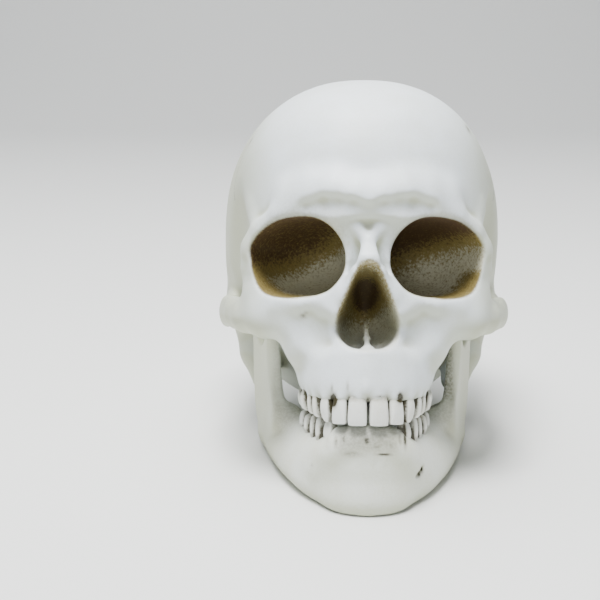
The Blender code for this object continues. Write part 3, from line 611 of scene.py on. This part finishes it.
cranium_points, cranium_quads = surface_of(cranium_clay())
jaw_points, jaw_quads = surface_of(mandible_clay())
cranium_normals = smooth_normals(cranium_points, cranium_quads)
jaw_normals = smooth_normals(jaw_points, jaw_quads)
cranium_hollow = hollow_depth(cranium_points, cranium_quads, cranium_normals)
jaw_hollow = hollow_depth(jaw_points, jaw_quads, jaw_normals)
print("hollows, 5, 50 and 95 percent", np.percentile(cranium_hollow, (5, 50, 95)).round(3))
print("cranium", len(cranium_quads), "quads, jaw", len(jaw_quads), "quads")

# %% [markdown]
# ## Bones
#
# The cast is one surface, but a person would name its bones, and the model keeps them as
# separate pieces.  Each quad is given to a bone by testing its middle against the same
# outlines that part the solids.  Neighbouring pieces keep the normals of the whole
# surface, so no seam shows between them.

# %% Which bone each quad belongs to
FRONTAL_SIDE = [(-140, 22), (-38, 22), (-12, 111), (-6, 140), (-140, 140)]
PARIETAL_SIDE = [(-60, 22.3), (-40, 22.3), (-31, 35), (-17, 44), (2, 47), (20, 45), (36, 36),
                 (48, 24), (54, 14), (63, 32), (78, 66), (104, 110), (104, 140), (-60, 140)]
OCCIPITAL_TOP = [(24, -6), (31, 8), (36, 30), (45, 47), (100, 53), (100, 130)]
TEMPORAL_TOP = [(20, -10), (36, -24), (47, -34), (100, -34), (100, 90), (20, 90)]
ZYGOMATIC_TOP = [(29, -140), (30, -78), (37, -64), (44, -57), (54, -50), (54, -20),
                 (100, -20), (100, -140)]
NASAL_FRONT = [(5.2, 60), (5.2, 22), (6.4, 6)]
MAXILLA_TOP = [(37, -140), (37, -61), (31, -53), (28, -46)]
NASAL_BACK = -84.0


def within_both(first, second, side):
    """The same test for an outline that one side of it gives."""
    return within(first, second, side + mirrored_back(side))


def bone_names(points):
    """The bone each point belongs to, by the first outline that holds it."""
    x, y, z = points.T
    side = np.where(x > 0, "left", "right")
    tests = [("frontal", within(y, z, FRONTAL_SIDE), False),
             ("parietal", within(y, z, PARIETAL_SIDE), True),
             ("occipital", within_both(x, y, OCCIPITAL_TOP), False),
             ("temporal", within(np.abs(x), y, TEMPORAL_TOP), True),
             ("zygomatic", within(np.abs(x), y, ZYGOMATIC_TOP), True),
             ("nasal", within_both(x, z, NASAL_FRONT) & (y < NASAL_BACK), True),
             ("maxilla", within_both(x, y, MAXILLA_TOP), True)]
    names = np.full(len(points), "sphenoid", dtype="<U16")
    free = np.ones(len(points), bool)
    for name, inside, paired in tests:
        chosen = free & inside
        names[chosen] = (np.char.add(name + "_", side[chosen]) if paired else name)
        free &= ~inside
    return names


quad_bones = bone_names(cranium_points[cranium_quads].mean(axis=1))
for bone, number in zip(*np.unique(quad_bones, return_counts=True)):
    print(bone, number)

# %% [markdown]
# ## Where the paint goes
#
# Sprayed paint has a soft edge where it drifts over a rim and a crisp one where the rim
# masks it.  Each vertex stores how much paint it has (stain), how dark that paint is, with
# painted shade in the sockets (depth), how much wash and painted shade sit in its cracks,
# hollows and gaps (wash_and_shade), how far painted shade dulls the white at the sides,
# underneath and in hollows (painted_shade) and how near a suture runs (suture).  The
# materials read these numbers.

# %% Paint masks for the cranium


def ramp(start, end, value):
    """0 at start, 1 at end, and 3 t^2 - 2 t^3 between."""
    t = np.clip((value - start) / (end - start), 0.0, 1.0)
    return t * t * (3 - 2 * t)


def socket_paint(x, y, z):
    """Crisp at the socket's rim but for a drift above it, darkest at the top, and with painted
    shade to the skull's right and on the outer floor.
    """
    wide = np.abs(x)
    across, above, inside = socket_place(wide, y, z)
    socket = socket_distance(wide, y, z)
    near = (across > -30) & (y > -95)
    deep = 5 * ramp(0.25, 0.7, inside)
    cover = ramp(deep + 1.0, deep + 0.2, socket) * near * (inside > -0.3)
    share = rim_share(across, above, SOCKET_OUTLINE)
    corner = ramp(1.04, 0.98, share) * near * (np.abs(inside) < 0.5) * ramp(0, 6, across)
    cover = np.maximum(cover, corner)
    spread = np.where(x < 0, 2.6, 1.6)
    drift = 0.5 * np.exp(-np.maximum(socket, 0) / spread) * ramp(2, 12, above - 0.4 * across)
    cover = np.maximum(cover, drift * (np.abs(inside) < 0.4))
    # Painted shade: each socket darkens towards the skull's right, the right socket is set lighter
    # than the left, and the outer floor is darkened.
    lean = np.where(x > 0, -across, across)
    level = above + 0.5 * lean - np.where(x < 0, 6, 2)
    dark = np.where(x < 0, 0.04, 0.12) + 0.88 * ramp(-13, 8, level)
    outer_floor_shade = ramp(0, -8, above) * ramp(-6, 4, across) * ramp(0.55, 0.1, inside)
    return cover, np.maximum(dark, 0.58 * outer_floor_shade)


def nose_paint(x, y, z):
    """Fading towards the nose's floor, with a dark spot at the back."""
    wide = np.abs(x)
    nose = nose_distance(x, y, z)
    deep = 5 * ramp(-80, -60, y)
    cover = ramp(deep + 1.3, deep + 0.6, nose) * (y > -103) * (z < 14) * (wide < 14)
    behind = ramp(-80, -76, y) * (wide < 9) * (z > -10) * (z < 10)
    cover = np.maximum(cover, behind) * (z > -27) * (y < -40)
    cover = cover * (0.30 + 0.70 * ramp(-25, -9, z + 0.25 * x))
    spot = np.exp(-(x / 5.5) ** 2 - ((z - 1) / 6.5) ** 2) * ramp(-82, -62, y)
    upper = 0.34 * ramp(-18, -4, z - 0.5 * x)
    return cover, np.clip(upper + 0.06 * ramp(-92, -70, y) + 1.1 * spot, 0, 1)


def cranium_paint(points):
    """The larger cover of the two, with the darkness that belongs to it."""
    in_socket, socket_dark_and_shade = socket_paint(*points.T)
    in_nose, nose_dark = nose_paint(*points.T)
    return {"stain": np.maximum(in_socket, in_nose),
            "depth": np.where(in_socket > in_nose, socket_dark_and_shade, nose_dark)}


paint = cranium_paint(cranium_points)
print("stained share", float(paint["stain"].mean()))

# %% [markdown]
# ## Tooth sizes, and the wash and painted shade between the teeth
#
# The teeth are fused to the bone that carries them.  Their sizes come first, because the dark
# wash, with painted shadow in the gaps, lies where two teeth meet at the gum.  The lower
# front teeth are missing on the cast: a stained, bumpy band of stumps stands in their place.

# %% Tooth sizes and the two rows
UPPER_TEETH = [("central", 7.55, 6.0, 10.2, "incisor"), ("lateral", 6.35, 5.6, 9.8, "incisor"),
               ("canine", 6.9, 6.8, 9.5, "canine"), ("premolar_1", 6.1, 8.2, 8.6, "molar"),
               ("premolar_2", 5.9, 8.2, 7.8, "molar"), ("molar_1", 9.1, 10.0, 7.0, "molar"),
               ("molar_2", 8.7, 9.8, 6.2, "molar")]
LOWER_TEETH = [("canine", 6.4, 6.6, 8.4, "canine"), ("premolar_1", 6.1, 7.4, 8.6, "molar"),
               ("premolar_2", 6.3, 7.6, 8.0, "molar"), ("molar_1", 9.6, 9.4, 7.0, "molar"),
               ("molar_2", 9.0, 9.2, 6.6, "molar")]
UPPER_ARCH = [(0, -92.8), (7, -91.4), (13.2, -87.8), (17.8, -81), (20.8, -73.5), (23.1, -65),
              (24.5, -55), (25, -46)]
LOWER_ARCH = [(0, -89), (6.4, -88), (12.4, -84.6), (16.8, -78.4), (19.8, -70.5), (22, -61),
              (24.4, -51), (27, -42)]
UPPER_GAP, LOWER_GAP = 0.15, 0.4
UPPER_START, LOWER_START = 0.3, 13.2
UPPER_GUM, LOWER_GUM = -44.0, -63.0
UPPER_GUM_SLOPE, LOWER_GUM_SLOPE = 0.07, 0.17
GUM_FRONT = -92.0
TOOTH_JITTER = 0.025
TOOTH_SEED = 7
TOOTH_LEAN = {"incisor": 0.16, "canine": 0.10, "molar": 0.0}

# %% Wash and painted shade between the teeth, and small marks


def along_arch(arch, lengths):
    """x and y at the given running lengths of the arch's curve."""
    curve = spline(arch, 400)
    arc = np.concatenate([[0], np.cumsum(np.hypot(*np.diff(curve, axis=0).T))])
    return np.stack([np.interp(lengths, arc, curve[:, axis]) for axis in (0, 1)], axis=1)


def tooth_gaps(teeth, arch, start, gap, gum, slope):
    """Points on the arch where neighbours meet, from the running sum of the widths."""
    meets = start + np.cumsum([tooth[1] + gap for tooth in teeth]) - gap / 2
    x, y = along_arch(arch, np.concatenate([[start - gap / 2], meets])).T
    one_side = np.stack([x, y, gum + slope * (y - GUM_FRONT)], axis=1)
    return np.concatenate([one_side, one_side * (-1, 1, 1)])


def marks(points, places):
    """The largest of strength times exp(-(step / size) ^ 2) over the places given."""
    result = np.zeros(len(points))
    for strength, place, size in places:
        step = (points - np.array(place)) / np.array(size)
        result = np.maximum(result, strength * np.exp(-np.sum(step ** 2, axis=1)))
    return result


UPPER_ROW = (UPPER_TEETH, UPPER_ARCH, UPPER_START, UPPER_GAP, UPPER_GUM, UPPER_GUM_SLOPE)
LOWER_ROW = (LOWER_TEETH, LOWER_ARCH, LOWER_START, LOWER_GAP, LOWER_GUM, LOWER_GUM_SLOPE)
# Gum gaps: brown wash and painted shadow where neighbouring teeth meet at the gum.
gum_gaps = [(0.9, place + (0, 0, 0.4), (0.9, 2.6, 1.5)) for place in tooth_gaps(*UPPER_ROW)]
jaw_gaps = [(0.9, place + (0, 0, -0.2), (1.2, 2.6, 1.7)) for place in tooth_gaps(*LOWER_ROW)]
# Each mark: strength, place, and size each way.
# Painted shade: the first pair of marks darkens the foramen below the right socket.
CRANIUM_MARKS = [(0.55, (-26.8, -80.7, -9.8), (1.3, 3, 1.1)),
                 (0.4, (-25.6, -81, -8.6), (1.1, 3, 0.8)),
                 (0.5, (-14.6, -91.1, -40.1), (0.5, 3, 2.0)),
                 (0.45, (-8.3, -94.4, -39.0), (0.5, 3, 1.8)),
                 (0.6, (4.8, -95.3, -42.9), (2.6, 3, 0.45)),
                 (0.4, (-6.5, -95.0, -43.0), (2.2, 3, 0.4)),
                 (0.35, (4.4, -88, -25.5), (1.5, 4, 0.9)), (0.3, (0.5, -90, -26.4), (1.8, 4, 1.0)),
                 # Painted shadow in the gaps at the gum beside the canines.
                 (1.5, (-13.9, -90, -44.3), (1.3, 4, 2.2)),
                 (1.5, (12.9, -91, -43.3), (1.2, 4, 1.8)),
                 (0.6, (-53.1, -32.4, 75.4), (1.5, 4, 3)), (0.5, (45.7, -54.1, 76.1), (1.5, 4, 3))]
JAW_MARKS = [(0.5, (-22.6, -78.8, -71.7), (0.45, 2, 0.45)),
             (0.7, (-0.4, -92, -60.6), (1.6, 4, 2.2)),
             (0.75, (6.6, -90.4, -66.2), (3.4, 4, 0.6)), (0.4, (-6.5, -91.0, -66.0), (5.5, 4, 1.6)),
             (0.45, (3.5, -91, -63.0), (3.0, 4, 1.6)), (0.4, (-4.5, -91, -58.0), (2.4, 4, 1.3)),
             (0.7, (-9.6, -90, -60.2), (0.8, 4, 1.8)), (0.5, (9.3, -90, -62), (1.0, 4, 2.4)),
             (0.6, (-12.6, -88, -61.5), (1.0, 4, 2.6)), (0.65, (12.8, -87, -60.5), (1.2, 4, 3.0)),
             (0.4, (-9.8, -90.5, -57.6), (1.4, 4, 1.0)), (0.4, (4.5, -91, -57.8), (3.2, 4, 0.7)),
             # Painted shadow in the gouge on the chin's left side.
             (0.7, (21.9, -77.5, -75), (0.9, 3, 1.6)), (0.7, (23.0, -76.4, -73.4), (0.9, 3, 1.5)),
             # Painted shadow in the gaps beside the lower canines.
             (0.5, (-15.8, -83, -62), (1.2, 4, 2.5)), (0.9, (15.2, -87.8, -60.5), (0.7, 4, 3))]
# Painted shadow in the gaps beside the canines, on the teeth themselves.
TOOTH_GAP_SHADOWS = [(2.2, (-13.7, -90, -44.6), (1.1, 4, 2.4)), (2.0, (12.9, -91, -43.3), (1.1, 4, 2.0)),
               (1.8, (15.2, -87.8, -58.5), (0.7, 4, 4.5))]


def jaw_wash(points, hollow):
    """The stained band of stumps, darker in its hollows, the gums' gaps, and painted shade behind
    the last molars, on the branch's inner face and in every hollow.
    """
    x, y, z = points.T
    band = ramp(15, 10, np.abs(x)) * ramp(-69, -62, z) * ramp(-79, -83, y)
    # Painted shade behind the last molars and on the branch's inner face, stronger on the skull's
    # left.
    behind = np.exp(-((y + 42) / 9) ** 2 - ((z + 52) / 9) ** 2) * ramp(44, 38, np.abs(x))
    inner_branch_shade = ramp(43, 39.5, np.abs(x)) * ramp(-46, -38, y) * ramp(-62, -52, z)
    wash_and_shade = np.maximum(band * (0.34 + 0.35 * ramp(-0.1, 0.5, hollow)), 0.36 * behind)
    wash_and_shade = np.maximum(wash_and_shade, np.where(x > 0, 0.5, 0.24) * inner_branch_shade)
    wash_and_shade = np.maximum(wash_and_shade, marks(points, jaw_gaps + JAW_MARKS))
    return np.clip(wash_and_shade + 0.16 * ramp(0.1, 0.9, hollow), 0, 1)


def cranium_wash(points, hollow):
    """Marks, wash and painted shadow in the gum gaps, and a little painted shade in every hollow of
    the face.
    """
    x, y, z = points.T
    face = ramp(-40, -60, y) * ramp(40, 30, z)
    return np.clip(marks(points, gum_gaps + CRANIUM_MARKS)
                   + 0.16 * ramp(0.15, 1.0, hollow) * face, 0, 1)


def painted_shade(points, normals, hollow, reach):
    """Painted shade: 0 on the middle of the face, rising to 1 at the sides, in hollows and
    underneath.
    """
    side = 0.85 * ramp(reach * 0.58, reach, np.abs(points[:, 0]))
    under = 0.7 * ramp(0.0, -0.6, normals[:, 2])
    return np.clip(side + under + 0.8 * ramp(0.05, 0.9, hollow), 0, 1)


paint["wash_and_shade"] = cranium_wash(cranium_points, cranium_hollow)
paint["painted_shade"] = painted_shade(cranium_points, cranium_normals, cranium_hollow, 61.0)
jaw_masks = {"wash_and_shade": jaw_wash(jaw_points, jaw_hollow),
             "painted_shade": painted_shade(jaw_points, jaw_normals, jaw_hollow, 50.0)}

# %% [markdown]
# ## The sutures
#
# On the vault the cast keeps a faint zigzag groove where two bones meet.  It is drawn by
# distance: every vertex knows how far it is from the nearest border between two bones.

# %% Distance to the vault's sutures
VAULT = ("frontal", "parietal_left", "parietal_right", "occipital", "temporal_left",
         "temporal_right")
VAULT_FLOOR = 48.0
SUTURE_REACH, SUTURE_RINGS = 4.0, 6


def suture_distance(points, quads, labels):
    """Millimetres to the nearest vertex that vault bones of two names share."""
    numbers = {name: i for i, name in enumerate(np.unique(labels))}
    codes = np.array([numbers[name] for name in labels])
    vault = np.isin(labels, VAULT)
    low = np.full(len(points), 99)
    high = np.full(len(points), -1)
    for corner in range(4):
        np.minimum.at(low, quads[vault, corner], codes[vault])
        np.maximum.at(high, quads[vault, corner], codes[vault])
    border = np.flatnonzero((high >= 0) & (low != high) & (points[:, 2] > VAULT_FLOOR))
    tree = KDTree(len(border))
    for index, where in enumerate(points[border]):
        tree.insert(where, index)
    tree.balance()
    result = np.full(len(points), SUTURE_REACH)
    near = np.zeros(len(points), bool)
    near[border] = True
    for _ in range(SUTURE_RINGS):
        near[quads[near[quads].any(axis=1)]] = True
    for index in np.flatnonzero(near):
        result[index] = min(SUTURE_REACH, tree.find(points[index])[2])
    return result


paint["suture"] = suture_distance(cranium_points, cranium_quads, quad_bones)

# %% [markdown]
# ## Materials
#
# Three effects come back in every material: mottling in the paint, the sprayed shade
# with its two depths, and the relief of brush marks and pores.  Each is a node group with
# its numbers as named inputs.  The Principled shader stays in each material.

# %% A small kit for node groups


SOCKET_KINDS = {type(None): "NodeSocketVector", tuple: "NodeSocketColor",
                float: "NodeSocketFloat"}


def new_group(name, inputs, outputs):
    """A shader group; both are dictionaries of sockets and values, None for a vector."""
    group = bpy.data.node_groups.new(name, "ShaderNodeTree")
    for way, sockets in (("INPUT", inputs), ("OUTPUT", outputs)):
        for label, value in sockets.items():
            socket = group.interface.new_socket(label, in_out=way,
                                                socket_type=SOCKET_KINDS[type(value)])
            if value is not None:
                socket.default_value = value
    return group, group.nodes.new("NodeGroupInput"), group.nodes.new("NodeGroupOutput")


def feed(tree, socket, value):
    """Link another node's socket to this one, or store a plain value in it."""
    if isinstance(value, bpy.types.NodeSocket):
        tree.links.new(value, socket)
    else:
        socket.default_value = value


def node(tree, kind, settings=None, **inputs):
    """A node with its settings, and inputs given as values or as sockets to link."""
    made = tree.nodes.new(kind)
    for key, value in (settings or {}).items():
        setattr(made, key, value)
    for key, value in inputs.items():
        feed(tree, made.inputs[int(key[1:]) if key[1:].isdigit() else key], value)
    return made


def use_group(tree, group, **inputs):
    return node(tree, "ShaderNodeGroup", {"node_tree": group}, **inputs)


def mix_colours(tree, share, first, second):
    """A Mix node for colours; returns its colour output."""
    return node(tree, "ShaderNodeMix", {"data_type": "RGBA"}, _0=share, _6=first,
                _7=second).outputs[2]


def math_node(tree, operation, *values, clamp=False):
    """A Math node for one to three values; returns its output."""
    made = node(tree, "ShaderNodeMath", {"operation": operation, "use_clamp": clamp})
    for socket, value in zip(made.inputs, values):
        feed(tree, socket, value)
    return made.outputs[0]


def range_node(tree, value, low, high, to_low=0.0, to_high=1.0):
    return node(tree, "ShaderNodeMapRange", {"interpolation_type": "SMOOTHSTEP"}, _0=value,
                _1=low, _2=high, _3=to_low, _4=to_high).outputs[0]


# %% The mottle group: three sizes of noise in one value


def make_mottle():
    group, start, end = new_group(
        "paint_mottle", {"Vector": None, "Scale": 60.0, "Fine share": 0.4},
        {"Value": 0.0, "Fine": 0.0})
    vector, scale, fine_share = start.outputs[:3]
    broad = node(group, "ShaderNodeTexNoise", Vector=vector, Scale=scale, Detail=3.0)
    fine_scale = math_node(group, "MULTIPLY", scale, 16.0)
    fine = node(group, "ShaderNodeTexNoise", Vector=vector, Scale=fine_scale, Detail=4.0,
                Roughness=0.65)
    mixed = node(group, "ShaderNodeMix", _0=fine_share, _2=broad.outputs[0],
                 _3=fine.outputs[0])
    group.links.new(mixed.outputs[0], end.inputs[0])
    group.links.new(fine.outputs[0], end.inputs[1])
    return group


mottle_group = make_mottle()

# %% The spray group: bone, olive haze, dark brown


def make_spray():
    group, start, end = new_group(
        "sprayed_shade", {"Bone": (0.8, 0.8, 0.76, 1), "Haze": (0.22, 0.20, 0.13, 1),
                          "Middle": (0.19, 0.145, 0.04, 1), "Dark": (0.045, 0.021, 0.003, 1),
                          "Stain": 0.0, "Depth": 0.0, "Grain": 0.5},
        {"Colour": (0.0, 0.0, 0.0, 1), "Cover": 0.0})
    bone, haze, middle, dark, stain, depth, grain = start.outputs[:7]
    speckle = math_node(group, "MULTIPLY_ADD", grain, 1.2, -0.6)
    deeper = math_node(group, "ADD", depth, speckle, clamp=True)
    first = range_node(group, deeper, 0.0, 0.5)
    second = range_node(group, deeper, 0.5, 1.0)
    shade = mix_colours(group, second, mix_colours(group, first, haze, middle), dark)
    drift = math_node(group, "MULTIPLY_ADD", grain, 0.8, -0.4)
    edge = math_node(group, "MULTIPLY", drift, math_node(
        group, "MULTIPLY", stain, math_node(group, "SUBTRACT", 1.0, stain)))
    cover = math_node(group, "MULTIPLY_ADD", edge, 3.0, stain, clamp=True)
    group.links.new(mix_colours(group, cover, bone, shade), end.inputs[0])
    group.links.new(cover, end.inputs[1])
    return group


spray_group = make_spray()

# %% The relief group: brush marks, casting pores and a groove


def make_relief():
    group, start, end = new_group(
        "cast_relief", {"Vector": None, "Brush": 0.4, "Pores": 0.2, "Groove": 0.0},
        {"Height": 0.0})
    vector, brush, pores, groove = start.outputs[:4]
    stretched = node(group, "ShaderNodeMapping", _0=vector, _3=(1.0, 1.0, 0.45))
    strokes = node(group, "ShaderNodeTexNoise", Vector=stretched.outputs[0], Scale=190.0,
                   Detail=3.0)
    swell = node(group, "ShaderNodeTexNoise", Vector=vector, Scale=45.0, Detail=2.0)
    pits = node(group, "ShaderNodeTexNoise", Vector=vector, Scale=1400.0, Detail=2.0)
    height = math_node(group, "MULTIPLY", strokes.outputs[0], brush)
    height = math_node(group, "MULTIPLY_ADD", swell.outputs[0], 0.8, height)
    pitted = math_node(group, "MULTIPLY", pits.outputs[0], pores)
    height = math_node(group, "ADD", height, pitted)
    height = math_node(group, "SUBTRACT", height, groove)
    group.links.new(height, end.inputs[0])
    return group


relief_group = make_relief()

# %% Cast paint: the finish of the bones


def attribute(tree, name):
    return node(tree, "ShaderNodeAttribute", {"attribute_name": name}).outputs["Fac"]


def cast_paint(name, bone, warm, shade_colour, haze, roughness):
    """Painted cast: mottled cream with painted shade, sprayed shade, wash and painted shade in the
    grooves, brushed relief.
    """
    material = bpy.data.materials.new(name)
    material.use_nodes = True
    tree = material.node_tree
    shader = tree.nodes["Principled BSDF"]
    place = node(tree, "ShaderNodeTexCoord").outputs["Object"]
    mottle = use_group(tree, mottle_group, Vector=place, Scale=55.0)
    tone = range_node(tree, mottle.outputs["Value"], 0.38, 0.66)
    cream = mix_colours(tree, tone, (*bone, 1.0), (*warm, 1.0))
    # Painted shade: the cream dulls towards an olive grey at the sides, underneath and in hollows.
    cream = mix_colours(tree, attribute(tree, "painted_shade"), cream, (*shade_colour, 1.0))
    spray = use_group(tree, spray_group, Bone=cream, Haze=(*haze, 1.0),
                      Stain=attribute(tree, "stain"), Depth=attribute(tree, "depth"),
                      Grain=mottle.outputs["Fine"])
    wiggle = math_node(tree, "MULTIPLY_ADD", mottle.outputs["Fine"], 1.6, -0.8)
    line = math_node(tree, "ADD", attribute(tree, "suture"), wiggle)
    groove = range_node(tree, line, 0.75, 0.15)
    blotch = range_node(tree, mottle.outputs["Fine"], 0.34, 0.62, 0.82, 1.12)
    # Wash and painted shade: brown wash in cracks and between teeth, painted shade in hollows and
    # gaps.
    blotched_wash_and_shade = math_node(tree, "MULTIPLY", attribute(tree, "wash_and_shade"), blotch, clamp=True)
    wash_and_shade = math_node(tree, "MAXIMUM", math_node(tree, "MULTIPLY", groove, 0.35), blotched_wash_and_shade)
    wash_and_shade_colour = mix_colours(tree, range_node(tree, wash_and_shade, 0.2, 0.7), (0.21, 0.195, 0.12, 1.0),
                            (0.038, 0.033, 0.015, 1.0))
    cover = math_node(tree, "MULTIPLY", wash_and_shade, 1.5, clamp=True)
    colour = mix_colours(tree, cover, spray.outputs["Colour"], wash_and_shade_colour)
    tree.links.new(colour, shader.inputs["Base Color"])
    rough = math_node(tree, "MULTIPLY_ADD", spray.outputs["Cover"], 0.25, roughness)
    tree.links.new(math_node(tree, "MULTIPLY_ADD", mottle.outputs["Value"], 0.2, rough),
                   shader.inputs["Roughness"])
    relief = use_group(tree, relief_group, Vector=place, Groove=groove)
    bump = node(tree, "ShaderNodeBump", Strength=0.35, Distance=0.0006,
                Height=relief.outputs[0])
    tree.links.new(bump.outputs[0], shader.inputs["Normal"])
    return material


cranium_finish = cast_paint("cranium_paint", (0.77, 0.83, 0.87), (0.72, 0.77, 0.78),
                            (0.45, 0.47, 0.35), (0.54, 0.53, 0.40), 0.38)
# The jaw's paint is the cranium's made warmer and duller: painted shade on the lower jaw.
jaw_finish = cast_paint("jaw_paint", (0.76, 0.79, 0.73), (0.69, 0.71, 0.61),
                        (0.46, 0.48, 0.34), (0.54, 0.53, 0.40), 0.38)
tooth_finish = cast_paint("tooth_paint", (0.75, 0.77, 0.74), (0.69, 0.69, 0.61),
                          (0.52, 0.50, 0.40), (0.20, 0.16, 0.09), 0.30)

# %% [markdown]
# ## Pieces
#
# A piece's mesh is filled straight from arrays.  Its normals come from the whole
# surface, its paint masks are point attributes, and it takes the place of its solid.

# %% A piece from arrays


def new_piece(name, points, quads, normals, masks, material, nodes):
    """Fill a mesh from the quads that are given, and let it stand for its solids."""
    used, flat = np.unique(quads, return_inverse=True)
    mesh = bpy.data.meshes.new(name)
    mesh.from_pydata(to_table(points[used]).tolist(), [], flat.reshape(quads.shape).tolist())
    mesh.shade_smooth()
    if normals is not None:
        mesh.normals_split_custom_set_from_vertices(turn_to_table(normals[used]).tolist())
    for label in ("stain", "depth", "wash_and_shade", "painted_shade", "suture"):
        plain = SUTURE_REACH if label == "suture" else 0.0
        values = masks.get(label, np.full(len(points), plain))
        layer = mesh.attributes.new(label, "FLOAT", "POINT")
        layer.data.foreach_set("value", np.asarray(values, np.float32)[used])
    mesh.materials.append(material)
    piece = bpy.data.objects.new(name, mesh)
    bpy.context.scene.collection.objects.link(piece)
    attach(piece, "root")
    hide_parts(*nodes)
    return piece


# %% The bones
for bone in np.unique(quad_bones):
    piece = new_piece(bone + "_cast", cranium_points, cranium_quads[quad_bones == bone],
                      cranium_normals, paint, cranium_finish, [str(bone)])
    print(piece.name, len(piece.data.polygons))
new_piece("mandible_cast", jaw_points, jaw_quads, jaw_normals, jaw_masks, jaw_finish,
          ["mandible"])

# %% [markdown]
# ## The teeth
#
# A tooth is a surface of two parameters.  One goes round it, on a rounded square; the
# other runs from the sunken root to the biting edge, where the square narrows to a
# chisel, a point or a low crown.

# %% The crown's stations
# Along a crown: place, width, thickness, squareness.
CROWN_STATIONS = {
    "incisor": [(-0.45, 0.62, 0.60, 2.0), (0.0, 0.92, 0.94, 2.8), (0.35, 0.99, 0.96, 3.4),
                (0.8, 1.01, 0.64, 4.4), (1.0, 0.97, 0.34, 4.4)],
    "canine": [(-0.45, 0.60, 0.65, 2.0), (0.0, 0.82, 0.98, 2.1), (0.4, 1.00, 1.00, 2.3),
               (0.8, 0.86, 0.66, 2.3), (1.0, 0.48, 0.34, 2.2)],
    "molar": [(-0.50, 0.60, 0.65, 2.0), (0.0, 0.88, 0.95, 2.2), (0.4, 1.00, 1.00, 2.5),
              (0.85, 0.92, 0.86, 2.6), (1.0, 0.70, 0.60, 2.4)]}

# %% One tooth on a grid
AROUND, ALONG, CAP = 32, 22, 5
CAP_RISE = 0.05
# Where the wash begins, as |cos t|, and how strong it is: brown wash, and painted shade in the
# groove between neighbours.
TOOTH_WASH_AND_SHADE = {"incisor": (0.93, 0.6), "canine": (0.70, 0.8), "molar": (0.44, 0.85)}


def tooth_grid(width, thickness, height, kind):
    """Round: (cos t, sin t) times r, where |cos| ^ n + |sin| ^ n = r ^ -n.

    Along: the stations' curve.  The last rings shrink to nothing on the biting edge, so
    that the grid is closed there.
    """
    stations = spline(CROWN_STATIONS[kind], ALONG)
    cap = np.sin(np.linspace(0, math.pi / 2, CAP + 1)[1:])
    shrink = np.concatenate([np.ones(ALONG), np.sqrt(np.clip(1 - cap ** 2, 0, 1))])
    rise = np.concatenate([np.zeros(ALONG), cap * CAP_RISE])
    stations = np.vstack([stations, np.repeat(stations[-1:], CAP, axis=0)])
    where, wide, thick, square = (stations[:, i, None] for i in range(4))
    turn = np.linspace(0, 2 * math.pi, AROUND, endpoint=False)[None, :]
    reach = (np.abs(np.cos(turn)) ** square + np.abs(np.sin(turn)) ** square) ** (-1 / square)
    reach = reach * shrink[:, None]
    lean = TOOTH_LEAN[kind] * where * height
    x = np.cos(turn) * reach * wide * width / 2
    y = np.sin(turn) * reach * thick * thickness / 2 - lean
    z = (where + rise[:, None]) * height + 0 * turn
    start, strength = TOOTH_WASH_AND_SHADE[kind]
    side = ramp(start, start + 0.7 * (1 - start), np.abs(np.cos(turn)))
    wash_and_shade = side * strength * (0.6 + 0.4 * ramp(0.9, 0.1, where))
    wash_and_shade = wash_and_shade + ramp(0.2, -0.04, where) * 0.4
    points = np.stack([x, y, z], axis=2).reshape(-1, 3)
    ring = np.arange(AROUND)
    rows = np.arange(len(stations) - 1)[:, None] * AROUND
    quads = np.stack([rows + ring, rows + (ring + 1) % AROUND,
                      rows + AROUND + (ring + 1) % AROUND, rows + AROUND + ring], axis=2)
    return points, quads.reshape(-1, 4), np.clip(wash_and_shade, 0, 1).ravel()


# %% Set the rows


def tooth_row(teeth, arch, start, gap, gum, slope, pointing, sides):
    """Place each tooth by its share of the arch's length, turned to the arch's direction."""
    rng = np.random.default_rng(TOOTH_SEED)
    all_points, all_quads, all_wash_and_shade, total = [], [], [], 0
    reach = start
    for _, width, thickness, height, kind in teeth:
        middle = reach + width / 2
        reach += width + gap
        here, ahead = along_arch(arch, [middle, middle + 0.5])
        along = (ahead - here) / np.linalg.norm(ahead - here)
        root = gum + slope * (here[1] - GUM_FRONT)
        for side in sides:
            size = np.array([width, thickness, height])
            size = size * (1 + rng.uniform(-1, 1, 3) * TOOTH_JITTER)
            points, quads, wash_and_shade = tooth_grid(*size, kind)
            flat = here + points[:, :1] * along + points[:, 1:2] * (-along[1], along[0])
            spots = np.stack([flat[:, 0] * side, flat[:, 1], root + pointing * points[:, 2]],
                             axis=1)
            all_points.append(spots)
            all_quads.append((quads if side * pointing > 0 else quads[:, ::-1]) + total)
            all_wash_and_shade.append(np.clip(wash_and_shade + marks(spots, TOOTH_GAP_SHADOWS), 0, 1))
            total += len(points)
    return np.concatenate(all_points), np.concatenate(all_quads), np.concatenate(all_wash_and_shade)


for name, row, pointing, sides, node_name in (
        ("upper_teeth_left", UPPER_ROW, -1, (1,), "maxilla_left"),
        ("upper_teeth_right", UPPER_ROW, -1, (-1,), "maxilla_right"),
        ("lower_teeth", LOWER_ROW, 1, (1, -1), "mandible")):
    points, quads, wash_and_shade = tooth_row(*row, pointing, sides)
    new_piece(name, points, quads, None, {"wash_and_shade": wash_and_shade}, tooth_finish, [node_name])
    print(name, len(quads), "quads")
